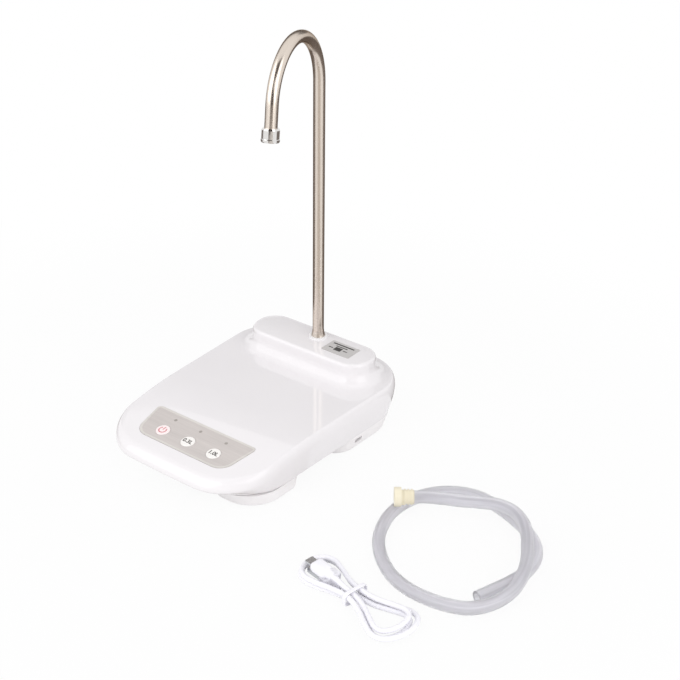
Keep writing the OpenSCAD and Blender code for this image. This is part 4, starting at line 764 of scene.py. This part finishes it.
SIGN_R, SIGN_W, SIGN_OPEN, SIGN_DOWN = 2.9, 0.95, 38, 0.2
BAR_LOW, BAR_OVER = 0.2, 0.7
sign_arc = SIGN_R*polar(np.radians(np.linspace(90 + SIGN_OPEN, 450 - SIGN_OPEN, 48)))
sign_bar = np.stack([np.zeros(6), np.linspace(BAR_LOW, SIGN_R + BAR_OVER, 6)], -1)
for name, line in (("power_sign_ring", sign_arc), ("power_sign_bar", sign_bar)):
    rings = flat_band(line + [-BUTTON_PITCH, -SIGN_DOWN], SIGN_W, CAP_PRINT)
    add_loft(name, on_panel(rings), "power_key")
WORD_SIZE, BOLD = 5.0, 0.13


def add_words(name, words, x, body):
    """Flat letters as a thin mesh, set in the middle of a button and then put on the panel."""
    text = bpy.data.curves.new(name, "FONT")
    text.body = words
    text.size = WORD_SIZE*MM
    text.extrude = PRINT_T/2*MM
    text.offset = BOLD*MM
    text.align_x = "CENTER"
    text.align_y = "CENTER"
    writer = put_in_scene("writer", text)
    bpy.context.view_layer.update()
    mesh = bpy.data.meshes.new_from_object(writer.evaluated_get(bpy.context.evaluated_depsgraph_get()))
    bpy.data.objects.remove(writer)
    flat = np.empty(len(mesh.vertices)*3, np.float32)
    mesh.vertices.foreach_get("co", flat)
    flat = flat.reshape(-1, 3)/MM + [x, 0.0, CAP_PRINT + PRINT_T/2]
    mesh.vertices.foreach_set("co", (on_panel(flat)*MM).ravel().astype(np.float32))
    mesh.update()
    mesh.name = name
    piece = put_in_scene(name, mesh)
    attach(piece, body)
    print(name, len(mesh.vertices), "points")


add_words("small_volume_sign", "0.3L", 0.0, "small_volume_key")
add_words("large_volume_sign", "1.0L", BUTTON_PITCH, "large_volume_key")

# %% Sticker bars
LABEL_X, LABEL_T, BAR_R = 27.5, 0.3, 0.2
label_low = DECK_H + LABEL_T + PRINT_GAP
label_bars = {"label_bar_long": (-0.5, 5.2, 20.0, 1.5), "label_bar_mid": (-0.5, 2.4, 11.0, 1.1),
              "label_block": (-1.5, -1.6, 6.5, 5.0), "label_bar_left": (-8.2, -1.8, 4.0, 1.0),
              "label_bar_right": (5.2, -1.4, 4.0, 1.0)}
for name, (x, y, w, h) in label_bars.items():
    outline = box_plan(LABEL_X + x - w/2, LABEL_X + x + w/2, DECK_Y + y - h/2, DECK_Y + y + h/2, [BAR_R]*4)
    add_loft(name, prism(outline, label_low, label_low + PRINT_T), "base")

# %% [markdown]
# ## Finishes
# A finish is one shader whose fixed values sit on its own sockets, plus a little node
# arithmetic for what changes over the surface. Wrapping a socket in a class lets that
# arithmetic read like arithmetic.

# %% A small language for shaders
class Flow:
    """One socket of a node tree. Arithmetic on it adds Math nodes."""

    def __init__(self, tree, socket):
        self.tree = tree
        self.socket = socket

    def math(self, operation, first, second):
        return self.tree.node("ShaderNodeMath", {"operation": operation}, {0: first, 1: second})

    def __add__(self, other):
        return self.math("ADD", self, other)

    def __sub__(self, other):
        return self.math("SUBTRACT", self, other)

    def __rsub__(self, other):
        return self.math("SUBTRACT", other, self)

    def __mul__(self, other):
        return self.math("MULTIPLY", self, other)

    __radd__ = __add__
    __rmul__ = __mul__


class Tree:
    """A node tree, with one way to add a node: its kind, its settings, then its sockets."""

    def __init__(self, node_tree):
        self.nodes = node_tree.nodes
        self.links = node_tree.links

    def put(self, node, values):
        for key, value in values.items():
            if isinstance(value, Flow):
                self.links.new(value.socket, node.inputs[key])
            else:
                node.inputs[key].default_value = value

    def node(self, kind, settings, values, output=0):
        made = self.nodes.new(kind)
        for key, value in settings.items():
            setattr(made, key, value)
        self.put(made, values)
        return Flow(self, made.outputs[output])

    def place(self):
        return self.node("ShaderNodeTexCoord", {}, {}, "Object")

    def straight(self):
        return self.node("ShaderNodeAttribute", {"attribute_name": "straight"}, {}, "Vector")

    def noise(self, where, stretch, scale, detail=2.0):
        moved = self.node("ShaderNodeMapping", {}, {"Vector": where, "Scale": stretch})
        return self.node("ShaderNodeTexNoise", {}, {"Vector": moved, "Scale": scale, "Detail": detail})

    def mix(self, factor, one, two):
        return self.node("ShaderNodeMix", {"data_type": "RGBA"}, {0: factor, 6: one, 7: two}, 2)

    def direct(self):
        """1 for a ray from the camera, off a mirror or through a clear wall, and otherwise 0."""
        kinds = ("Is Camera Ray", "Is Glossy Ray", "Is Transmission Ray")
        seen, glossy, through = (self.node("ShaderNodeLightPath", {}, {}, kind) for kind in kinds)
        return seen + glossy + through

    def bump(self, height, strength, depth):
        return self.node("ShaderNodeBump", {}, {"Height": height, "Strength": strength, "Distance": depth})


def tone(red, green, blue):
    """A colour as seen on a screen, 0 to 255, in the linear values that a shader wants."""
    seen = np.array([red, green, blue])/255.0
    line = np.where(seen <= 0.04045, seen/12.92, ((seen + 0.055)/1.055)**2.4)
    return (*map(float, line), 1.0)


def shade(colour, by):
    """The same colour, lighter or darker."""
    return (*(min(1.0, c*by) for c in colour[:3]), 1.0)


def finish(name, **fixed):
    """A material, its tree and its shader; words with _ stand for the shader's socket names."""
    material = bpy.data.materials.new(name)
    material.use_nodes = True
    tree = Tree(material.node_tree)
    tree.material = material
    tree.shader = tree.nodes["Principled BSDF"]
    tree.put(tree.shader, {key.replace("_", " "): value for key, value in fixed.items()})
    return tree


DRIFT_SCALE, PEEL_DEPTH = 22.0, 0.0002
LINE_SCALE, LINE_ROUGH = 1400.0, 0.04


def moulded(name, colour, rough, peel=0.06, size=900.0, drift=0.03, **fixed):
    """Moulded plastic: colour drifts slowly, gloss varies, and a fine peel breaks up highlights."""
    tree = finish(name, **fixed)
    where = tree.place()
    slow = tree.noise(where, (1, 1, 1), DRIFT_SCALE)
    fine = tree.noise(where, (1, 1, 1), size, 3.0)
    tree.put(tree.shader, {
        "Base Color": tree.mix(slow, shade(colour, 1 - drift), shade(colour, 1 + drift/3)),
        "Roughness": rough*(0.7 + 0.6*fine),
        "Normal": tree.bump(fine, peel, PEEL_DEPTH)})
    return tree.material


def brushed(name, colour, rough, along, streak=0.04, **fixed):
    """Metal with fine streaks along its length: the paler lines are a little rougher."""
    tree = finish(name, Metallic=1.0, **fixed)
    where = tree.straight() if along is None else tree.place()
    stretch = (1, 1, 0.02) if along is None else along
    lines = tree.noise(where, stretch, LINE_SCALE, 1.0)
    tree.put(tree.shader, {
        "Base Color": tree.mix(lines, shade(colour, 1 - streak), shade(colour, 1 + streak)),
        "Roughness": rough + LINE_ROUGH*(lines - 0.5)})
    return tree.material


# %% [markdown]
# ### What each finish is
# The shell is glossy ABS, the tray the same plastic with a matt tool. The panel is a printed
# film with fine streaks. The tube is brushed stainless steel with a warm tint and the
# nozzle is chromed. The hose is milky silicone, with lighter and darker streaks along it that
# are painted highlights and shade of its bore.

# %% Finishes of the pieces that show
dressed = set()


def dress(material, pieces):
    """Gives a finish to each piece that a line of words names."""
    for name in pieces.split():
        mesh = bpy.data.objects[name].data
        mesh.materials.clear()
        mesh.materials.append(material)
        dressed.add(name)


dress(moulded("white_gloss", tone(236, 233, 235), 0.05, peel=0.01), "shell_skin top_shell")
dress(moulded("white_matte", tone(244, 241, 242), 0.4, peel=0.08, size=1600.0),
      "tray_skin bottom_housing foot_front_right foot_rear_right foot_front_left foot_rear_left "
      "motor_strap pump_body pump_cover")
dress(moulded("socket_white", tone(244, 243, 244), 0.3), "spout_socket socket_clip hose_port nozzle_insert")
dress(moulded("lead_white", tone(247, 246, 252), 0.42, peel=0.08, size=1500.0),
      "lead_wire usb_cable micro_plug_body micro_usb_plug usb_plug_body usb_a_plug tie_band cable_tie")
dress(moulded("cream_plastic", tone(236, 228, 205), 0.3, peel=0.05), "hose_fitting")
dress(moulded("cap_white", tone(246, 243, 240), 0.35), "small_volume_button large_volume_button")
dress(moulded("cap_pink", tone(250, 238, 238), 0.35), "power_button")
dress(moulded("sign_red", tone(218, 142, 149), 0.5), "power_sign_ring power_sign_bar")
dress(moulded("sign_grey", tone(84, 80, 77), 0.5), "small_volume_sign large_volume_sign")
dress(moulded("lamp_dark", tone(164, 158, 152), 0.3), "indicator_lenses")
dress(moulded("sticker_grey", tone(196, 193, 192), 0.4), "deck_label")
dress(moulded("print_black", tone(62, 60, 58), 0.5), " ".join(label_bars))
dress(moulded("pad_rubber", tone(70, 70, 72), 0.8, peel=0.3), "foot_pads")
STEEL_EDGE = tone(150, 138, 128)
dress(brushed("brushed_steel", tone(224, 213, 202), 0.22, None, Specular_Tint=STEEL_EDGE),
      "spout_skin spout_tube")
dress(brushed("steel_cone", tone(216, 206, 196), 0.22, (1, 1, 0.05), Specular_Tint=STEEL_EDGE),
      "ferrule_skin spout_ferrule")
dress(brushed("chrome", tone(226, 224, 222), 0.08, (1, 1, 0.3)), "nozzle_shell")
dress(brushed("zinc", tone(200, 202, 206), 0.35, (1, 1, 1), streak=0.1),
      "micro_usb_tip usb_a_shell charge_socket housing_screws board_screws pump_screws strap_screws "
      "motor_can motor_shaft idler_pin")

# %% Film and silicone
FILM_WIDE, FILM_THIN, FILM_DEPTH = 260.0, 1500.0, 0.0001
SHEEN_STREAK_SCALE, STREAK_BUMP_DEPTH = 400.0, 0.0004


def panel_film(name, colour):
    """Printed film: long streaks across the panel in two scales, darker and paler."""
    tree = finish(name)
    where = tree.place()
    wide = tree.noise(where, (0.06, 1, 1), FILM_WIDE, 3.0)
    thin = tree.noise(where, (0.03, 1, 1), FILM_THIN, 2.0)
    both = 0.6*wide + 0.4*thin
    tree.put(tree.shader, {
        "Base Color": tree.mix(both, shade(colour, 0.8), shade(colour, 1.18)),
        "Roughness": 0.34 + 0.1*(thin - 0.5),
        "Normal": tree.bump(thin, 0.04, FILM_DEPTH)})
    return tree.material


def silicone(name, colour):
    """Milky tube wall: light passes and scatters; lighter and darker streaks along the tube are painted
    highlights and shade of its bore.
    """
    tree = finish(name, Transmission_Weight=0.75, IOR=1.41, Roughness=0.3)
    # The streaks' colour is painted highlight and shade of the bore; their bump is a faint relief.
    streaks = tree.noise(tree.straight(), (1, 1, 0.03), SHEEN_STREAK_SCALE, 2.0)
    tree.put(tree.shader, {
        "Base Color": tree.mix((streaks - 0.4)*5.0, shade(colour, 0.87), shade(colour, 1.08)),
        "Normal": tree.bump(streaks, 0.05, STREAK_BUMP_DEPTH)})
    return tree.material


dress(panel_film("panel_film", tone(203, 196, 193)), "control_panel")
# The band round the panel's edge takes a paler film: a painted highlight of its bevel.
dress(panel_film("panel_edge_highlight_film", tone(214, 210, 205)), "panel_edge_highlight")
dress(silicone("hose_silicone", tone(241, 240, 244)), "hose_tube suction_hose")

# %% [markdown]
# ### Finishes inside the body
# Nobody sees these unless the shell is taken off, but a maker who opens the model should
# find a green board, a blue cell and coloured wires.

# %% Finishes of the pieces inside
dress(moulded("board_green", tone(30, 92, 60), 0.4, drift=0.3), "control_board charge_board")
dress(moulded("black_plastic", tone(38, 38, 40), 0.5),
      "battery_holder tact_switches power_switch_stem small_volume_switch_stem large_volume_switch_stem")
dress(moulded("cell_wrap", tone(70, 120, 170), 0.35), "battery_cell")
dress(moulded("acetal", tone(236, 230, 214), 0.4), "drive_gear idler_gear")
dress(moulded("seal_rubber", tone(30, 30, 30), 0.7, peel=0.2), "pump_gasket shaft_seal spout_o_rings")
dress(moulded("inner_hose", tone(214, 222, 224), 0.3), "inlet_tube outlet_tube")
dress(moulded("wire_red", tone(170, 40, 40), 0.45), "motor_leads")
dress(moulded("wire_black", tone(36, 36, 36), 0.45), "battery_leads")
dress(moulded("wire_yellow", tone(206, 170, 60), 0.45), "charge_leads")

# %% [markdown]
# ## Table, light and air
# The picture is high-key: white everywhere, hardly a shadow. The table shows the camera
# its own white and keeps a share of real shading, so that a soft shadow stays. Two large
# lamps give form. Cards that only mirrored rays see do the rest. The tube mirrors the table
# and the room, so dark fans at its sides give the steel its edges, and a fan, a wall and a
# roof before it give it its core. A grey wall behind is mirrored by the plate, which is
# therefore a little darker than the slopes around it.

# %% Floor
floor_mesh = bpy.data.meshes.new("floor")
FLOOR_HALF = 6.0
corners = [(-1, -1, 0), (1, -1, 0), (1, 1, 0), (-1, 1, 0)]
floor_mesh.from_pydata((FLOOR_HALF*np.array(corners)).tolist(), [], [(0, 1, 2, 3)])
floor = put_in_scene("floor", floor_mesh)
floor_material = bpy.data.materials.new("table_white")
floor_material.use_nodes = True
table = Tree(floor_material.node_tree)
glow = table.node("ShaderNodeEmission", {}, {"Color": (1, 1, 1, 1), "Strength": 1.0})
matt = table.node("ShaderNodeBsdfDiffuse", {}, {"Color": (0.82, 0.82, 0.82, 1)})
GLOW_NEAR, NEAR_END, FAR_END = 0.93, 0.25, 0.5
away = table.node("ShaderNodeVectorMath", {"operation": "LENGTH"}, {0: table.place()}, "Value")
far = table.node("ShaderNodeMapRange", {"interpolation_type": "SMOOTHSTEP"}, {
    "Value": away, "From Min": NEAR_END, "From Max": FAR_END, "To Min": GLOW_NEAR, "To Max": 1.0})
both = table.node("ShaderNodeMixShader", {}, {0: far*table.direct(), 1: matt, 2: glow})
table.put(table.nodes["Material Output"], {"Surface": both})
floor_mesh.materials.append(floor_material)

# %% World and lamps
world = bpy.data.worlds.new("studio")
bpy.context.scene.world = world
world.use_nodes = True
air = Tree(world.node_tree)
AIR_LIGHT = 0.76
air.put(air.nodes["Background"], {
    "Color": (1, 1, 1, 1), "Strength": AIR_LIGHT + (1 - AIR_LIGHT)*air.direct()})


LAMP_AIM, LAMP_SIZE, LAMP_WATTS = (0.05, 0.0, 0.05), 2.0, 13.0


def add_lamp(name, at):
    """A square soft lamp that faces the object."""
    data = bpy.data.lights.new(name, "AREA")
    data.shape = "SQUARE"
    data.size = LAMP_SIZE
    data.energy = LAMP_WATTS
    lamp = put_in_scene(name, data)
    back = unit(np.subtract(at, LAMP_AIM))
    right = unit(np.cross([0.0, 0.0, 1.0], back))
    frame_of = np.eye(4)
    frame_of[:3, :3] = np.stack([right, np.cross(back, right), back], 1)
    frame_of[:3, 3] = at
    lamp.matrix_world = Matrix(frame_of.tolist())


add_lamp("key_lamp", (-0.7, -1.4, 1.15))
add_lamp("fill_lamp", (1.5, -0.5, 0.95))


def add_card(name, points, shade_of):
    """A strip between two rows of points, seen by mirrored rays only: no shadow, no bounce."""
    mesh = bpy.data.meshes.new(name)
    columns = points.shape[1]
    k = np.arange(columns - 1)
    strip = np.stack([k, k + 1, k + 1 + columns, k + columns], -1)
    mesh.from_pydata((points.reshape(-1, 3)*MM).tolist(), [], strip.tolist())
    card = put_in_scene(name, mesh)
    card.visible_camera = False
    card.visible_diffuse = False
    card.visible_shadow = False
    card.visible_transmission = False
    mesh.materials.append(finish(name, Roughness=1.0, Base_Color=shade_of).material)


def fan(start, end, inner, outer, rise=0.0):
    """A fan round the tube's foot, from one direction to another in degrees; its rim may rise."""
    spokes = lift(polar(np.radians(np.linspace(start, end, 24))), 0.0)
    return np.stack([inner*spokes, outer*spokes + [0.0, 0.0, rise]]) + [0.0, SPOUT_Y, FAN_Z]


VIEW_FROM, FAN_Z = -52.0, 2.0
SIDE_START, SIDE_END, SIDE_INNER, SIDE_OUTER = 76, 152, 60.0, 1500.0
NEAR_HALF, NEAR_INNER, NEAR_OUTER, NEAR_RISE = 26, 120.0, 900.0, 214.0
SHADED, PALE = (0.2, 0.17, 0.155, 1), (0.66, 0.62, 0.58, 1)
GREY, DARK = (0.22, 0.21, 0.21, 1), (0.06, 0.045, 0.04, 1)
for name, start, end in (("right_fan", SIDE_START, SIDE_END), ("left_fan", -SIDE_END, -SIDE_START)):
    add_card(name, fan(VIEW_FROM + start, VIEW_FROM + end, SIDE_INNER, SIDE_OUTER), SHADED)
near = fan(VIEW_FROM - NEAR_HALF, VIEW_FROM + NEAR_HALF, NEAR_INNER, NEAR_OUTER, NEAR_RISE)
add_card("near_fan", near, PALE)
ahead = np.append(polar(math.radians(VIEW_FROM)), 0.0)
aside = np.array([-ahead[1], ahead[0], 0.0])


def across(distance, half, height):
    """A level row of points square to the line of sight, before or behind the tube."""
    return distance*ahead + np.linspace(-half, half, 4)[:, None]*aside + [0.0, 0.0, height]


BACK_AT, BACK_HALF, BACK_LOW, BACK_HIGH = -1200.0, 1100.0, 480.0, 1120.0
FRONT_AT, FRONT_HALF, FRONT_LOW, FRONT_HIGH = 1700.0, 750.0, 10.0, 1500.0
ROOF_END, ROOF_HALF = 300.0, 500.0
back_rows = [across(BACK_AT, BACK_HALF, BACK_LOW), across(BACK_AT, BACK_HALF, BACK_HIGH)]
front_rows = [across(FRONT_AT, FRONT_HALF, FRONT_LOW), across(FRONT_AT, FRONT_HALF, FRONT_HIGH)]
add_card("back_wall", np.stack(back_rows), GREY)
add_card("front_wall", np.stack(front_rows), DARK)
add_card("front_roof", np.stack([front_rows[1], across(ROOF_END, ROOF_HALF, FRONT_HIGH)]), DARK)

# %% Closing
view = bpy.context.scene.view_settings
view.view_transform = "Standard"
